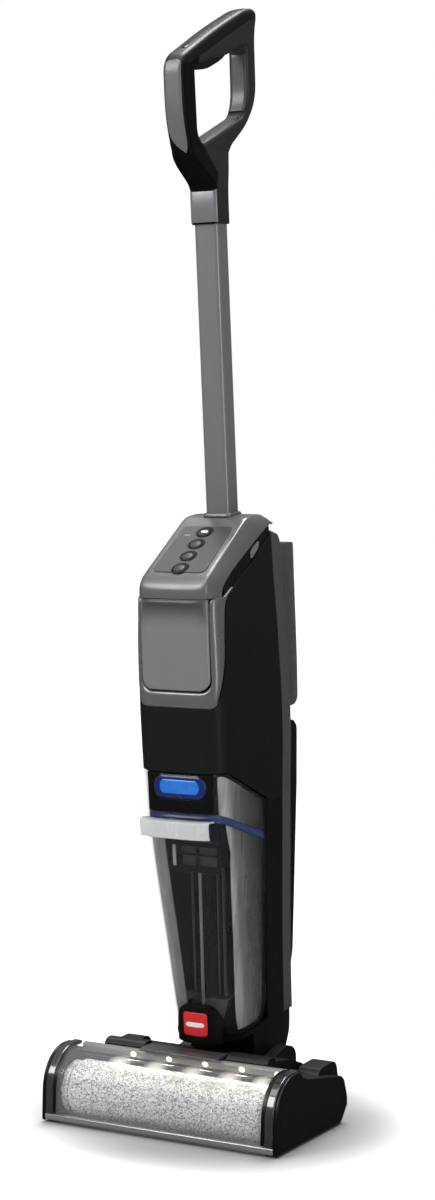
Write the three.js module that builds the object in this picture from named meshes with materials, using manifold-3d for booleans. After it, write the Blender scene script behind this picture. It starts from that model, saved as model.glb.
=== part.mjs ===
// Cordless wet and dry floor scrubber: a wide powered floor head, a neck that tilts and swivels, a
// slim leaning body with a recovery tank in front and a clean-water tank behind, and a loop handle.
// Millimetres, +Z up, +Y towards the user, the head's front edge facing -Y. The origin is on the
// floor, under the centre of the whole machine.
import * as THREE from 'three';
import { mergeVertices } from 'three/addons/utils/BufferGeometryUtils.js';
import Module from 'manifold-3d';

const wasm = await Module();
wasm.setup();

// ---------------------------------------------------------------- driving dimensions
const GAP = 0.3;                       // between pieces that touch
const CENTRE_Y = 117.3;                // machine centre, measured back from the head's front edge
const LEAN = THREE.MathUtils.degToRad(7.2);   // the parked body leans forward over the head
const BODY_Y = 175;                    // body frame origin, behind the head's front edge
const BODY_Z = 46;                     // body frame origin, above the floor

const HEAD_HALF = 135;                 // half the head's width
const SIDE_T = 4;                      // side plate thickness
const WINDOW_R = 41;                   // outside radius of the window's bend
const WINDOW_Z = 35;                   // height of that bend's centre
const WINDOW_T = 2.5;
const END_W = 9.7;                     // width of the window's end frames
const BRUSH_Y = 38;
const BRUSH_Z = 31;
const BRUSH_R = 30;                    // over the pile
const CORE_R = 22;
const BRUSH_HALF = 110;                // half the length of the pile
const BRUSH_PULLEY_R = 14.1;
const MOTOR_PULLEY_R = 8.1;
const MOTOR_Y = 98;
const MOTOR_Z = 28;
const WHEEL_Y = 148;
const WHEEL_R = 24;
const WHEEL_X = 103;                   // inner face of a rear wheel
const WHEEL_W = 16;
const AXLE_R = 4;

const PIVOT_V = 9.9;                   // tilt axis in the body frame
const PIVOT_W = -1.25;
const SWIVEL_V = 18;                   // swivel axis in the body frame
const SWIVEL_R = 17.5;
const TRUNNION_R = 8;
const TUBE_V = 19.6;                   // axis of the wand
const TUBE_X = 14;                     // half the wand's width
const TUBE_D = 12.5;                   // half the wand's depth
const REAR_V = 38.7;                   // back of the black frame and cover
const BAND_V = 60;                     // back of the grey rear shell
const FLOOR_W = 46;                    // underside of the body, on the swivel plane
const SHELL_T = 3;

// ---------------------------------------------------------------- solids
// A closed mesh as a manifold solid, with only its positions kept.
function solid(geometry) {
  const bare = geometry.clone();
  bare.deleteAttribute('normal');
  bare.deleteAttribute('uv');
  const merged = mergeVertices(bare, 1e-4);
  return new wasm.Manifold(new wasm.Mesh({
    numProp: 3,
    vertProperties: merged.attributes.position.array,
    triVerts: new Uint32Array(merged.index.array),
  }));
}

function geometryOf(made) {
  const mesh = made.getMesh();
  const geometry = new THREE.BufferGeometry();
  geometry.setAttribute('position', new THREE.BufferAttribute(mesh.vertProperties, 3));
  geometry.setIndex(new THREE.BufferAttribute(mesh.triVerts, 1));
  geometry.computeVertexNormals();
  return geometry;
}

// An outline whose points may carry a corner radius: [a, b] or [a, b, radius].
function outline(points) {
  const shape = new THREE.Shape();
  const count = points.length;
  points.forEach(([a, b, radius = 0], i) => {
    const here = new THREE.Vector2(a, b);
    if (!radius) {
      if (i) shape.lineTo(a, b);
      else shape.moveTo(a, b);
      return;
    }
    const before = new THREE.Vector2(...points[(i + count - 1) % count].slice(0, 2)).sub(here);
    const after = new THREE.Vector2(...points[(i + 1) % count].slice(0, 2)).sub(here);
    const start = here.clone().add(before.setLength(radius));
    const end = here.clone().add(after.setLength(radius));
    if (i) shape.lineTo(start.x, start.y);
    else shape.moveTo(start.x, start.y);
    shape.quadraticCurveTo(here.x, here.y, end.x, end.y);
  });
  shape.closePath();
  return shape;
}

const toSide = new THREE.Matrix4().makeBasis(
  new THREE.Vector3(0, 1, 0), new THREE.Vector3(0, 0, 1), new THREE.Vector3(1, 0, 0));

// A side-view outline (y, z) carried from x0 to x1.
function across(points, x0, x1, steps = 4) {
  const shape = points instanceof THREE.Shape ? points : outline(points);
  const made = new THREE.ExtrudeGeometry(shape, { depth: x1 - x0, bevelEnabled: false, curveSegments: steps });
  return solid(made.applyMatrix4(toSide).translate(x0, 0, 0));
}

// A plan outline (x, y) carried from z0 to z1.
function upright(points, z0, z1, steps = 4) {
  const shape = points instanceof THREE.Shape ? points : outline(points);
  const made = new THREE.ExtrudeGeometry(shape, { depth: z1 - z0, bevelEnabled: false, curveSegments: steps });
  return solid(made.translate(0, 0, z0));
}

// A front-view outline (x, z) carried from y0 back to y1.
function through(points, y0, y1, steps = 4) {
  const shape = points instanceof THREE.Shape ? points : outline(points);
  const made = new THREE.ExtrudeGeometry(shape, { depth: y1 - y0, bevelEnabled: false, curveSegments: steps });
  return solid(made.rotateX(Math.PI / 2).translate(0, y1, 0));
}

function block(x0, x1, y0, y1, z0, z1) {
  const made = new THREE.BoxGeometry(x1 - x0, y1 - y0, z1 - z0);
  return solid(made.translate((x0 + x1) / 2, (y0 + y1) / 2, (z0 + z1) / 2));
}

// A round bar along X.
function bar(radius, x0, x1, y, z, sides = 24) {
  const made = new THREE.CylinderGeometry(radius, radius, x1 - x0, sides);
  return solid(made.rotateZ(Math.PI / 2).translate((x0 + x1) / 2, y, z));
}

// A round post along Z.
function post(radius, z0, z1, x, y, sides = 24) {
  const made = new THREE.CylinderGeometry(radius, radius, z1 - z0, sides);
  return solid(made.rotateX(Math.PI / 2).translate(x, y, (z0 + z1) / 2));
}

// Half-width boxes that are the same on both sides.
function rounded(halfX, y0, y1, radius) {
  return [[-halfX, y0, radius], [halfX, y0, radius], [halfX, y1, radius], [-halfX, y1, radius]];
}

// A closed body lofted through rings of equal point count, with flat ends.
function loft(rings) {
  const count = rings[0].length;
  const positions = rings.flat(2);
  const index = [];
  for (let r = 0; r + 1 < rings.length; r++) {
    for (let i = 0; i < count; i++) {
      const a = r * count + i;
      const b = r * count + (i + 1) % count;
      index.push(a, b, a + count, b, b + count, a + count);
    }
  }
  const last = (rings.length - 1) * count;
  for (let i = 1; i + 1 < count; i++) {
    index.push(0, i + 1, i, last, last + i, last + i + 1);
  }
  const made = new THREE.BufferGeometry();
  made.setAttribute('position', new THREE.BufferAttribute(new Float32Array(positions), 3));
  made.setIndex(index);
  return solid(made);
}

// ---------------------------------------------------------------- the body's outer envelope
// Height, half width and front of the body. The sides taper down to the floor head.
const STATIONS = [
  { w: 40, half: 40.5, front: -66 },
  { w: 82, half: 41, front: -74.5 },
  { w: 151, half: 42.8, front: -84.5 },
  { w: 227, half: 46.2, front: -94.5 },
  { w: 264, half: 47.4, front: -99 },
  { w: 300, half: 48.8, front: -100 },
  { w: 345, half: 51.3, front: -98.5 },
  { w: 400, half: 51.8, front: -98.5 },
  { w: 470, half: 49.8, front: -98 },
  { w: 520, half: 47.3, front: -97 },
  { w: 600, half: 45, front: -95 },
];
const NOSE_DEPTH = 45;                 // how far back the rounded front reaches
const NOSE_POWER = 4.5;                // how square that rounding is
const NOSE_STEPS = 14;

// The envelope moved inwards by inset, from the rounded front back to rear.
function envelope(inset, rear) {
  return loft(STATIONS.map(({ w, half, front }) => {
    const ring = [[-(half - inset), rear, w]];
    for (let i = 0; i <= NOSE_STEPS; i++) {
      const t = Math.PI * (1 - i / NOSE_STEPS);
      const side = Math.sign(Math.cos(t)) * Math.abs(Math.cos(t)) ** (2 / NOSE_POWER);
      const nose = Math.sin(t) ** (2 / NOSE_POWER);
      ring.push([(half - inset) * side, front + NOSE_DEPTH - (NOSE_DEPTH - inset) * nose, w]);
    }
    ring.push([half - inset, rear, w]);
    return ring;
  }));
}

// ---------------------------------------------------------------- materials
const paint = (color, roughness, metalness = 0) =>
  new THREE.MeshStandardMaterial({ color, roughness, metalness });
const MATERIALS = {
  black: paint(0x1b1b1c, 0.4),
  charcoal: paint(0x3a3a3c, 0.5),
  soft: paint(0x101011, 0.6),
  grey: paint(0x68696b, 0.45),
  silver: paint(0x85868a, 0.4),
  band: paint(0x58595b, 0.45),
  gunmetal: paint(0x4a4a4d, 0.25, 0.7),
  wand: paint(0x7a7b7f, 0.4, 0.6),
  clear: paint(0xd8dcdf, 0.08),
  smoke: paint(0x3c3d40, 0.15),
  lip: paint(0xb4b4b8, 0.25),
  blue: paint(0x1c5cb8, 0.35),
  seal: paint(0x3d55a0, 0.4),
  pile: paint(0xd9d9d8, 0.95),
  rubber: paint(0x161616, 0.85),
  lamp: paint(0xfff6e0, 0.3),
  red: paint(0xc8201c, 0.4),
  metal: paint(0x9a9a9e, 0.35, 0.9),
  board: paint(0x1f4d2a, 0.6),
};

const machine = new THREE.Group();
machine.position.y = -CENTRE_Y;
const body = new THREE.Group();
body.position.set(0, BODY_Y, BODY_Z);
body.rotation.x = LEAN;
machine.add(body);

function add(group, name, material, made) {
  const mesh = new THREE.Mesh(geometryOf(made), MATERIALS[material]);
  mesh.name = name;
  group.add(mesh);
  return mesh;
}

// ---------------------------------------------------------------- floor head
// The window's side profile, moved inwards by inset: upright front, quarter bend, short flat top.
function windowProfile(inset, bottom, top) {
  const radius = WINDOW_R - inset;
  const shape = new THREE.Shape();
  shape.moveTo(inset, bottom);
  shape.lineTo(inset, WINDOW_Z);
  shape.absarc(WINDOW_R, WINDOW_Z, radius, Math.PI, Math.PI / 2, true);
  shape.lineTo(top, WINDOW_Z + radius);
  shape.lineTo(top, bottom);
  shape.closePath();
  return shape;
}

function windowShell(outside, thickness, x0, x1, bottom, top) {
  const outer = across(windowProfile(outside, bottom, top), x0, x1, 9);
  return outer.subtract(across(windowProfile(outside + thickness, bottom - 5, top + 5), x0 - 1, x1 + 1, 9));
}

function makeHead() {
  const inner = HEAD_HALF - SIDE_T - GAP;       // inside the side plates

  // Sole: a flat chassis with the brush opening, the blade slot, wheel wells and two glides in front.
  let sole = block(-inner, inner, 8, 158, 2, 5);
  sole = sole.add(block(-inner, -119, 8, 14, 0, 5)).add(block(119, inner, 8, 14, 0, 5));
  sole = sole.subtract(block(-118, 118, 4, 66, -1, 9));
  sole = sole.subtract(block(-118.5, 118.5, 69.5, 73, -1, 9));
  for (const side of [-1, 1]) {
    const [a, b] = [side * (WHEEL_X - 3), side * (inner + 1)].sort((p, q) => p - q);
    sole = sole.subtract(block(a, b, WHEEL_Y - 27, 170, -1, 9));
  }
  add(machine, 'sole_plate', 'black', sole);

  // Brush chamber: a curved wall behind and over the brush, with the suction mouth in the middle.
  const wall = new THREE.Shape();
  const from = THREE.MathUtils.degToRad(-40);
  const to = THREE.MathUtils.degToRad(80);
  wall.absarc(BRUSH_Y, BRUSH_Z, 35, from, to, false);
  wall.absarc(BRUSH_Y, BRUSH_Z, 33, to, from, true);
  const chamber = across(wall, -BRUSH_HALF - 0.8, 118.4, 14);
  add(machine, 'brush_chamber', 'charcoal', chamber.subtract(block(-21.8, 21.8, 60, 80, 17.2, 44.3)));

  add(machine, 'intake_duct', 'charcoal',
    block(-21.5, 21.5, 70, 140, 17.5, 44).subtract(block(-19.5, 19.5, 60, 150, 19.5, 42)));

  // Top cover: a shell with a raised middle, two ridges beside the window tab, wheel humps and ears.
  let cover = across([[58.5, 5.3], [163, 5.3, 3], [168, 22, 4], [157, 50, 6], [70, 64.5], [58.5, 64.5]],
    -inner, inner);
  const raised = [[58.5, 50], [150, 50], [146, 60, 8], [112, 71.5, 8], [76, 75.6], [58.5, 75.6]];
  cover = cover.add(across(raised, -95, 95));
  const ridge = [[58.5, 70], [80, 70], [75, 81, 4], [62, 81, 4], [58.5, 76]];
  const hump = [[116, 40], [122, 62, 8], [164, 64, 10], [171, 40, 6], [171, 14], [116, 14]];
  for (const side of [-1, 1]) {
    const [r0, r1] = [side * 48, side * 95].sort((p, q) => p - q);
    cover = cover.add(across(ridge, r0, r1));
  }
  const hollow = [[30, -5], [160, -5], [164, 22], [154.5, 47], [70, 61.5], [30, 61.5]];
  cover = cover.subtract(across(hollow, 3 - inner, inner - 3));
  cover = cover.subtract(across([[30, 40], [146, 40], [143, 57], [111, 68.5], [76, 72.6], [30, 72.6]], -92, 92));
  const ear = [[128, 14], [172, 14, 10], [206, 34, 12], [206, 60, 12], [184, 68, 10], [150, 60], [128, 60]];
  cover = cover.subtract(block(-44.5, 44.5, 118, 200, 0, 90));
  for (const side of [-1, 1]) {
    const [w0, w1] = [side * (WHEEL_X - 1), side * (WHEEL_X + WHEEL_W + 1)].sort((p, q) => p - q);
    const [e0, e1] = [side * 44.5, side * 57].sort((p, q) => p - q);
    const [a0, a1] = [side * (WHEEL_X - 4), side * (WHEEL_X + WHEEL_W + 4)].sort((p, q) => p - q);
    cover = cover.add(across(hump, a0, a1));
    cover = cover.subtract(bar(WHEEL_R + 3, w0, w1, WHEEL_Y, WHEEL_R, 24));
    cover = cover.subtract(block(w0, w1, WHEEL_Y - WHEEL_R - 3, WHEEL_Y + WHEEL_R + 3, -5, WHEEL_R));
    cover = cover.add(across(ear, e0, e1));
    cover = cover.add(bar(AXLE_R, a0, a1, WHEEL_Y, WHEEL_R, 16));
  }
  const pivotY = BODY_Y + PIVOT_V * Math.cos(LEAN) - PIVOT_W * Math.sin(LEAN);
  const pivotZ = BODY_Z + PIVOT_V * Math.sin(LEAN) + PIVOT_W * Math.cos(LEAN);
  cover = cover.subtract(bar(TRUNNION_R + GAP, -60, 60, pivotY, pivotZ, 24));
  add(machine, 'head_cover', 'charcoal', cover);

  // Side plates, the head's silhouette from the side.
  const profile = new THREE.Shape();
  profile.moveTo(4, 1.5);
  profile.lineTo(0.5, 5);
  profile.lineTo(0.5, WINDOW_Z);
  profile.absarc(WINDOW_R, WINDOW_Z, WINDOW_R - 0.5, Math.PI, Math.PI / 2, true);
  profile.lineTo(52, 75);
  profile.quadraticCurveTo(57, 74, 62, 69);
  profile.quadraticCurveTo(66, 65, 72, 64.5);
  profile.lineTo(152, 51);
  profile.quadraticCurveTo(158, 50, 160, 45);
  profile.lineTo(168.5, 26);
  profile.quadraticCurveTo(169.5, 22, 167, 18);
  profile.lineTo(155, 4);
  profile.quadraticCurveTo(153, 1.5, 149, 1.5);
  profile.closePath();
  for (const [side, name] of [[-1, 'left'], [1, 'right']]) {
    const [x0, x1] = [side * (HEAD_HALF - SIDE_T), side * HEAD_HALF].sort((p, q) => p - q);
    const [s0, s1] = [side * (inner + 0.9), side * 120.5].sort((p, q) => p - q);
    let plate = across(profile, x0, x1, 8);
    if (side > 0) plate = plate.add(bar(6, 125, x1 - 1, BRUSH_Y, BRUSH_Z, 16));
    else plate = plate.add(bar(4, x0 + 1, s1 - 2, BRUSH_Y, BRUSH_Z, 16));
    add(machine, `side_plate_${name}`, 'black', plate);
  }

  add(machine, 'led_bar', 'lamp',
    across([[51.5, 66], [58, 66], [58, 75.2], [54, 75.2], [51.5, 72]], -118, 118));
  add(machine, 'squeegee', 'rubber', across([[70, 12], [70.6, 0.4], [71.8, 0.4], [72.6, 12]], -118, 118));
  add(machine, 'brush_motor', 'metal', bar(15, -108, -44, MOTOR_Y, MOTOR_Z, 24)
    .add(block(-100, -52, MOTOR_Y - 9, MOTOR_Y + 9, 5.3, 20)));
  add(machine, 'drive_belt', 'rubber', makeBelt());
}

// The outside of a belt round both pulleys: two arcs joined by their common tangents.
function beltLoop(grow) {
  const dy = MOTOR_Y - BRUSH_Y;
  const dz = MOTOR_Z - BRUSH_Z;
  const apart = Math.hypot(dy, dz);
  const big = BRUSH_PULLEY_R + grow;
  const small = MOTOR_PULLEY_R + grow;
  const heading = Math.atan2(dz, dy);
  const spread = Math.acos((big - small) / apart);
  const shape = new THREE.Shape();
  shape.absarc(BRUSH_Y, BRUSH_Z, big, heading + spread, heading - spread + 2 * Math.PI, false);
  shape.absarc(MOTOR_Y, MOTOR_Z, small, heading - spread, heading + spread, false);
  shape.closePath();
  return shape;
}

function makeBelt() {
  return across(beltLoop(1.9), -118, -112.5, 10).subtract(across(beltLoop(GAP), -119, -111, 10));
}

function makeBrush() {
  const core = bar(CORE_R, -BRUSH_HALF, BRUSH_HALF, BRUSH_Y, BRUSH_Z, 32)
    .subtract(bar(CORE_R - 3, -BRUSH_HALF - 1, BRUSH_HALF + 1, BRUSH_Y, BRUSH_Z, 32));
  add(machine, 'brush_core', 'charcoal', core);
  const pile = bar(BRUSH_R, -BRUSH_HALF, BRUSH_HALF, BRUSH_Y, BRUSH_Z, 40)
    .subtract(bar(CORE_R + GAP, -BRUSH_HALF - 1, BRUSH_HALF + 1, BRUSH_Y, BRUSH_Z, 40));
  add(machine, 'brush_pile', 'pile', pile);
  const pulley = bar(BRUSH_PULLEY_R, -119.2, -111, BRUSH_Y, BRUSH_Z, 32)
    .add(bar(CORE_R - 3 - GAP, -111, -96, BRUSH_Y, BRUSH_Z, 32))
    .subtract(bar(4.4, -125, -90, BRUSH_Y, BRUSH_Z, 20));
  add(machine, 'brush_pulley', 'black', pulley);
  const cap = bar(17, 110.4, 118, BRUSH_Y, BRUSH_Z, 28)
    .add(bar(CORE_R - 3 - GAP, 96, 110.4, BRUSH_Y, BRUSH_Z, 28))
    .add(block(113, 124, BRUSH_Y - 3, BRUSH_Y + 3, BRUSH_Z - 14, BRUSH_Z + 14));
  add(machine, 'brush_end_cap', 'black', cap);
  add(machine, 'motor_pulley', 'metal', bar(MOTOR_PULLEY_R, -119.2, -111.5, MOTOR_Y, MOTOR_Z, 24)
    .add(bar(2.5, -111.5, -108.4, MOTOR_Y, MOTOR_Z, 12)));
}

function makeWheels() {
  for (const [side, name] of [[-1, 'left'], [1, 'right']]) {
    const [x0, x1] = [side * WHEEL_X, side * (WHEEL_X + WHEEL_W)].sort((p, q) => p - q);
    const mid = (x0 + x1) / 2;
    const hub = [[AXLE_R + GAP, -7], [WHEEL_R - 6, -7], [WHEEL_R - 6, 7], [AXLE_R + GAP, 7], [AXLE_R + GAP, -7]];
    const tyre = [[WHEEL_R - 5.7, -8], [WHEEL_R - 1, -8], [WHEEL_R, -6], [WHEEL_R, 6], [WHEEL_R - 1, 8],
      [WHEEL_R - 5.7, 8], [WHEEL_R - 5.7, -8]];
    for (const [kind, profile, material] of [['hub', hub, 'charcoal'], ['tyre', tyre, 'rubber']]) {
      const made = new THREE.LatheGeometry(profile.map(([r, h]) => new THREE.Vector2(r, h)), 28);
      add(machine, `wheel_${kind}_${name}`, material,
        solid(made.rotateZ(Math.PI / 2).translate(mid, WHEEL_Y, WHEEL_R)));
    }
  }
}

function makeWindow() {
  const inner = HEAD_HALF - SIDE_T - GAP;
  const clearHalf = inner - END_W - GAP;
  add(machine, 'window', 'clear', windowShell(0, WINDOW_T, -clearHalf, clearHalf, 10, 50));
  for (const [side, name] of [[-1, 'left'], [1, 'right']]) {
    const [x0, x1] = [side * (inner - END_W), side * inner].sort((p, q) => p - q);
    add(machine, `window_end_${name}`, 'gunmetal', windowShell(0, 4.5, x0, x1, 10, 57));
  }
  add(machine, 'window_lip', 'lip', across([[0.3, 4], [2, 2.5], [6.6, 2.5], [6.6, 9.7], [0, 9.7]], -inner, inner));
  add(machine, 'window_tab', 'grey',
    across([[44, 76.3], [72, 76.3], [72, 78], [68, 79.6], [50, 79.6], [44, 77.5]], -45, 45));
}

// ---------------------------------------------------------------- neck
function makeNeck() {
  const side = [[-26, 45.7], [-26, 14, 8], [-12, -14, 10], [20, -22, 12], [44, -4, 12], [60, 20, 8], [62, 45.7]];
  let yoke = across(side, -36, 36);
  yoke = yoke.add(bar(TRUNNION_R, -56.5, 56.5, PIVOT_V, PIVOT_W, 24));
  yoke = yoke.add(post(SWIVEL_R, 40, 59, 0, SWIVEL_V, 28));
  yoke = yoke.subtract(post(SWIVEL_R - 3.5, 0, 70, 0, SWIVEL_V, 28));
  yoke = yoke.subtract(across([[-40, -6], [10, -6], [10, 22], [-40, 22]], -13, 13));
  add(body, 'neck_yoke', 'black', yoke);
  add(body, 'neck_hose', 'soft', makeHose());
}

// A ribbed hose that lines the neck.
function makeHose() {
  const profile = [[10.5, 6]];
  for (let w = 6; w < 58; w += 6.5) {
    profile.push([12, w], [13.6, w + 1.6], [13.6, w + 3.6], [12, w + 5.2]);
  }
  profile.push([10.5, 58], [10.5, 6]);
  const made = new THREE.LatheGeometry(profile.map(([r, h]) => new THREE.Vector2(r, h)), 20);
  return solid(made.rotateX(Math.PI / 2).translate(0, SWIVEL_V, 0));
}

// ---------------------------------------------------------------- body shells, seen from the side
const FAR = 150;                       // outside every outline
// Underside of the black cover: level in front, then falling to the back at 27 degrees.
const COVER_FRONT_W = 336;
const COVER_SLOPE = 0.513;
const COVER_REAR_W = 285;
const COVER_BEND_V = -86;
const COVER_KINK_V = COVER_BEND_V + (COVER_FRONT_W - COVER_REAR_W) / COVER_SLOPE;
const coverEdge = (v, drop = 0) => Math.max(COVER_FRONT_W - Math.max(0, v - COVER_BEND_V) * COVER_SLOPE,
  COVER_REAR_W) - drop;
// Rim of the recovery tank, falling to the back.
const rim = (v, rise = 0) => 288 - (v + 92) * 0.413 + rise;
// Seams of the grey control housing on the cover.
const SEAM_V = -81;
const SEAM_W = 404;
const PANEL_RISE = Math.atan2(582 - 539.6, 78);   // slope of the control panel
const PANEL_V = -80;
const PANEL_W = 539.6;
const KEY_Y = [4, 25, 46, 67];         // the keys' places up the panel
const KEY_R = 8.2;

// The seam line between cover, trim and housing, moved towards the housing by d.
function seam(d) {
  return [
    [-FAR, SEAM_W + 2.6 * d],
    [SEAM_V - d - 4, SEAM_W + 2.6 * d, 2],
    [SEAM_V - d, SEAM_W + 8 + 1.6 * d, 2],
    [SEAM_V - d, 499 + 0.4 * d, 6],
    [-60 - 0.5 * d, 517 + d, 2],
    [40, 570 + 0.8 * d],
  ];
}

function makeFrame() {
  const outer = envelope(0, REAR_V);
  const inner = envelope(SHELL_T, REAR_V - SHELL_T);
  // Floor, boss in front of the tank, and the hollow spine behind it.
  let frame = outer.intersect(across([[-FAR, FLOOR_W], [REAR_V, FLOOR_W], [REAR_V, 51.5], [-FAR, 51.5]], -60, 60));
  const spine = [[0, 50], [REAR_V, 50], [REAR_V, COVER_REAR_W - 0.5], [COVER_KINK_V, COVER_REAR_W - 0.5],
    [0, coverEdge(0, 0.5)]];
  frame = frame.add(outer.intersect(across(spine, -60, 60)));
  frame = frame.subtract(inner.intersect(across([[3, 51.5], [REAR_V - 3, 51.5], [REAR_V - 3, 320], [3, 320]], -60, 60)));
  const bossFront = outline([[-25, FLOOR_W], [25, FLOOR_W], [27, 66, 8], [19, 86, 9], [-19, 86, 9], [-27, 66, 8]]);
  const bossPlan = new THREE.Shape();
  bossPlan.moveTo(-27.5, -74);
  bossPlan.quadraticCurveTo(-22, -84.5, 0, -86.5);
  bossPlan.quadraticCurveTo(22, -84.5, 27.5, -74);
  bossPlan.lineTo(22, -58);
  bossPlan.lineTo(-22, -58);
  bossPlan.closePath();
  const boss = through(bossFront, -100, -56).intersect(upright(bossPlan, FLOOR_W, 90, 6));
  frame = frame.add(boss.subtract(envelope(-1.2, 0).intersect(block(-60, 60, -120, 0, 51.6, 100))));
  frame = frame.subtract(post(SWIVEL_R + GAP, 40, 60, 0, SWIVEL_V, 28));
  add(body, 'main_frame', 'black', frame);

  add(body, 'badge', 'red', through(rounded(14, 55, 80, 4), -88.6, -86.8));

  // Grey rear shell behind the frame and the cover.
  const band = [[REAR_V + GAP, FLOOR_W], [BAND_V, FLOOR_W], [BAND_V, 555, 3], [56, 562, 3], [REAR_V + GAP, 568]];
  const bandInner = [[REAR_V - 1, 50], [BAND_V - 3, 50], [BAND_V - 3, 552], [REAR_V - 1, 552]];
  add(body, 'rear_shell', 'band', envelope(0.6, BAND_V).intersect(across(band, -60, 60))
    .subtract(envelope(3.6, BAND_V).intersect(across(bandInner, -60, 60))));

  // Lower back cover over the hose and the charging contacts.
  const back = [[BAND_V + GAP, 48], [64, 50], [66, 68], [78.5, 103, 8], [88.5, 268], [94, 350, 5], [86, 358, 3], [BAND_V + GAP, 360]];
  const backInner = [[BAND_V - 1, 54], [62, 70], [75.5, 104], [85.5, 268], [90, 347], [BAND_V - 1, 354]];
  const taper = (d) => [[-32 + d, 40], [32 - d, 40], [41 - d, 290], [42 - d, 400], [-42 + d, 400], [-41 + d, 290]];
  add(body, 'hose_cover', 'black', across(back, -60, 60).intersect(through(taper(0), 50, 120))
    .subtract(across(backInner, -60, 60).intersect(through(taper(3), 50, 120))));
}

function makeCover() {
  const side = across([[-FAR, COVER_FRONT_W], ...seam(0).slice(0, 5), [REAR_V, 569.3],
    [REAR_V, COVER_REAR_W], [COVER_KINK_V, COVER_REAR_W], [COVER_BEND_V, COVER_FRONT_W]], -60, 60);
  add(body, 'body_cover', 'black',
    envelope(0, REAR_V).intersect(side).subtract(envelope(SHELL_T, FAR)));

  // The trim is a U round the battery door, drawn out into a thin strip along each side of the panel.
  const band = [...seam(GAP).slice(0, 5), [40, 570.24], [40, 572.7], [-61.7, 520.4, 2], [-70.2, 513], [-FAR, 513]];
  add(body, 'trim_bezel', 'gunmetal', envelope(0.2, FAR).intersect(across(band, -60, 60))
    .subtract(envelope(3.4, FAR)).subtract(through(rounded(38.4, 415, 530, 7), -120, -70)));
}

function makeHousing() {
  const side = across([[-FAR, 513.3], [-70.4, 513.3], [-61.9, 520.8, 2], [40, 573], [42.4, 574], [42.4, 581, 3],
    [35, 586, 3], [6, 586], [-2, 582], [PANEL_V, PANEL_W, 6], [-92, 533, 4], [-98, 521, 4], [-FAR, 516]], -60, 60);
  let housing = envelope(0, 62).intersect(side);
  // The sides lean in from the seam up to the panel's edges.
  const lean = onPanel(new THREE.ExtrudeGeometry(
    outline([[37.5, 1], [37.5, 40], [80, 40], [80, -19], [50, -19]]),
    { depth: 260, bevelEnabled: false }).rotateX(Math.PI / 2).translate(0, 200, 0));
  housing = housing.subtract(lean).subtract(lean.mirror([1, 0, 0]));
  const wall = across([[-92.5, 500], [-92.5, 521], [-78, 533.5], [-2, 576], [40, 578], [40, 500]], -33, 33);
  housing = housing.subtract(envelope(4, 58).intersect(wall).subtract(block(-24, 24, 0, 42, 545, 600)));
  housing = housing.subtract(upright(tubeOutline(GAP), 540, 600));
  housing = housing.subtract(through(rounded(38.4, 415, 513, 5), -120, -70));
  for (const y of KEY_Y) {
    const well = new THREE.CylinderGeometry(KEY_R + 0.4, KEY_R + 0.4, 8, 28);
    housing = housing.subtract(onPanel(well.rotateX(Math.PI / 2).translate(0, y, 1.2)));
  }
  add(body, 'control_housing', 'grey', housing);

  // Battery pack behind the grey door; the door's top is scooped for a finger.
  add(body, 'battery_pack', 'charcoal', across([[-88.5, 424], [-46, 424], [-46, 508], [-88.5, 508]], -34, 34));
  const door = envelope(-1, 0).intersect(
    across([[-120, 419], [-88.8, 419], [-88.8, 512], [-90, 512], [-94, 504, 4], [-99, 498, 4], [-120, 497]], -60, 60));
  add(body, 'battery_door', 'silver', door.intersect(through(rounded(38, 419, 512, 7), -120, -80)));
}

// Moves a geometry from the control panel's frame (Y up the slope, Z out of it) to the body frame.
function onPanel(geometry) {
  return solid(geometry.rotateX(PANEL_RISE).translate(0, PANEL_V, PANEL_W));
}

function tubeOutline(grow) {
  const x = TUBE_X + grow;
  const d = TUBE_D + grow;
  return [[-x, TUBE_V - d, 5], [x, TUBE_V - d, 5], [x, TUBE_V + d, 5], [-x, TUBE_V + d, 5]];
}

function makeControls() {
  const names = ['solution_button', 'mode_button', 'clean_button', 'power_button'];
  names.forEach((name, i) => {
    const key = new THREE.CylinderGeometry(KEY_R, KEY_R, 2.4, 28);
    add(body, name, 'soft', onPanel(key.rotateX(Math.PI / 2).translate(0, KEY_Y[i], -0.2)));
  });
}

// ---------------------------------------------------------------- inside the body
function makeInternals() {
  const motor = [[0, 340], [20, 340], [36, 346], [38, 352], [38, 384], [32, 388], [30, 410], [0, 410]];
  const made = new THREE.LatheGeometry(motor.map(([r, h]) => new THREE.Vector2(r, h)), 24);
  // The motor hangs in a plate that spans the cover; the board stands across it.
  const plate = envelope(SHELL_T + GAP, 36).intersect(block(-60, 60, -110, 36, 384, 388));
  add(body, 'suction_motor', 'metal', solid(made.rotateX(Math.PI / 2).translate(0, -28, 0)).add(plate));
  add(body, 'water_pump', 'black', block(-14, 14, 3.3, 30, 90, 130).add(post(9, 130, 150, 0, 18, 20)));
  add(body, 'circuit_board', 'board', envelope(SHELL_T + GAP, 36).intersect(block(-60, 60, -20, -18, 440, 505)));
}

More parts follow.
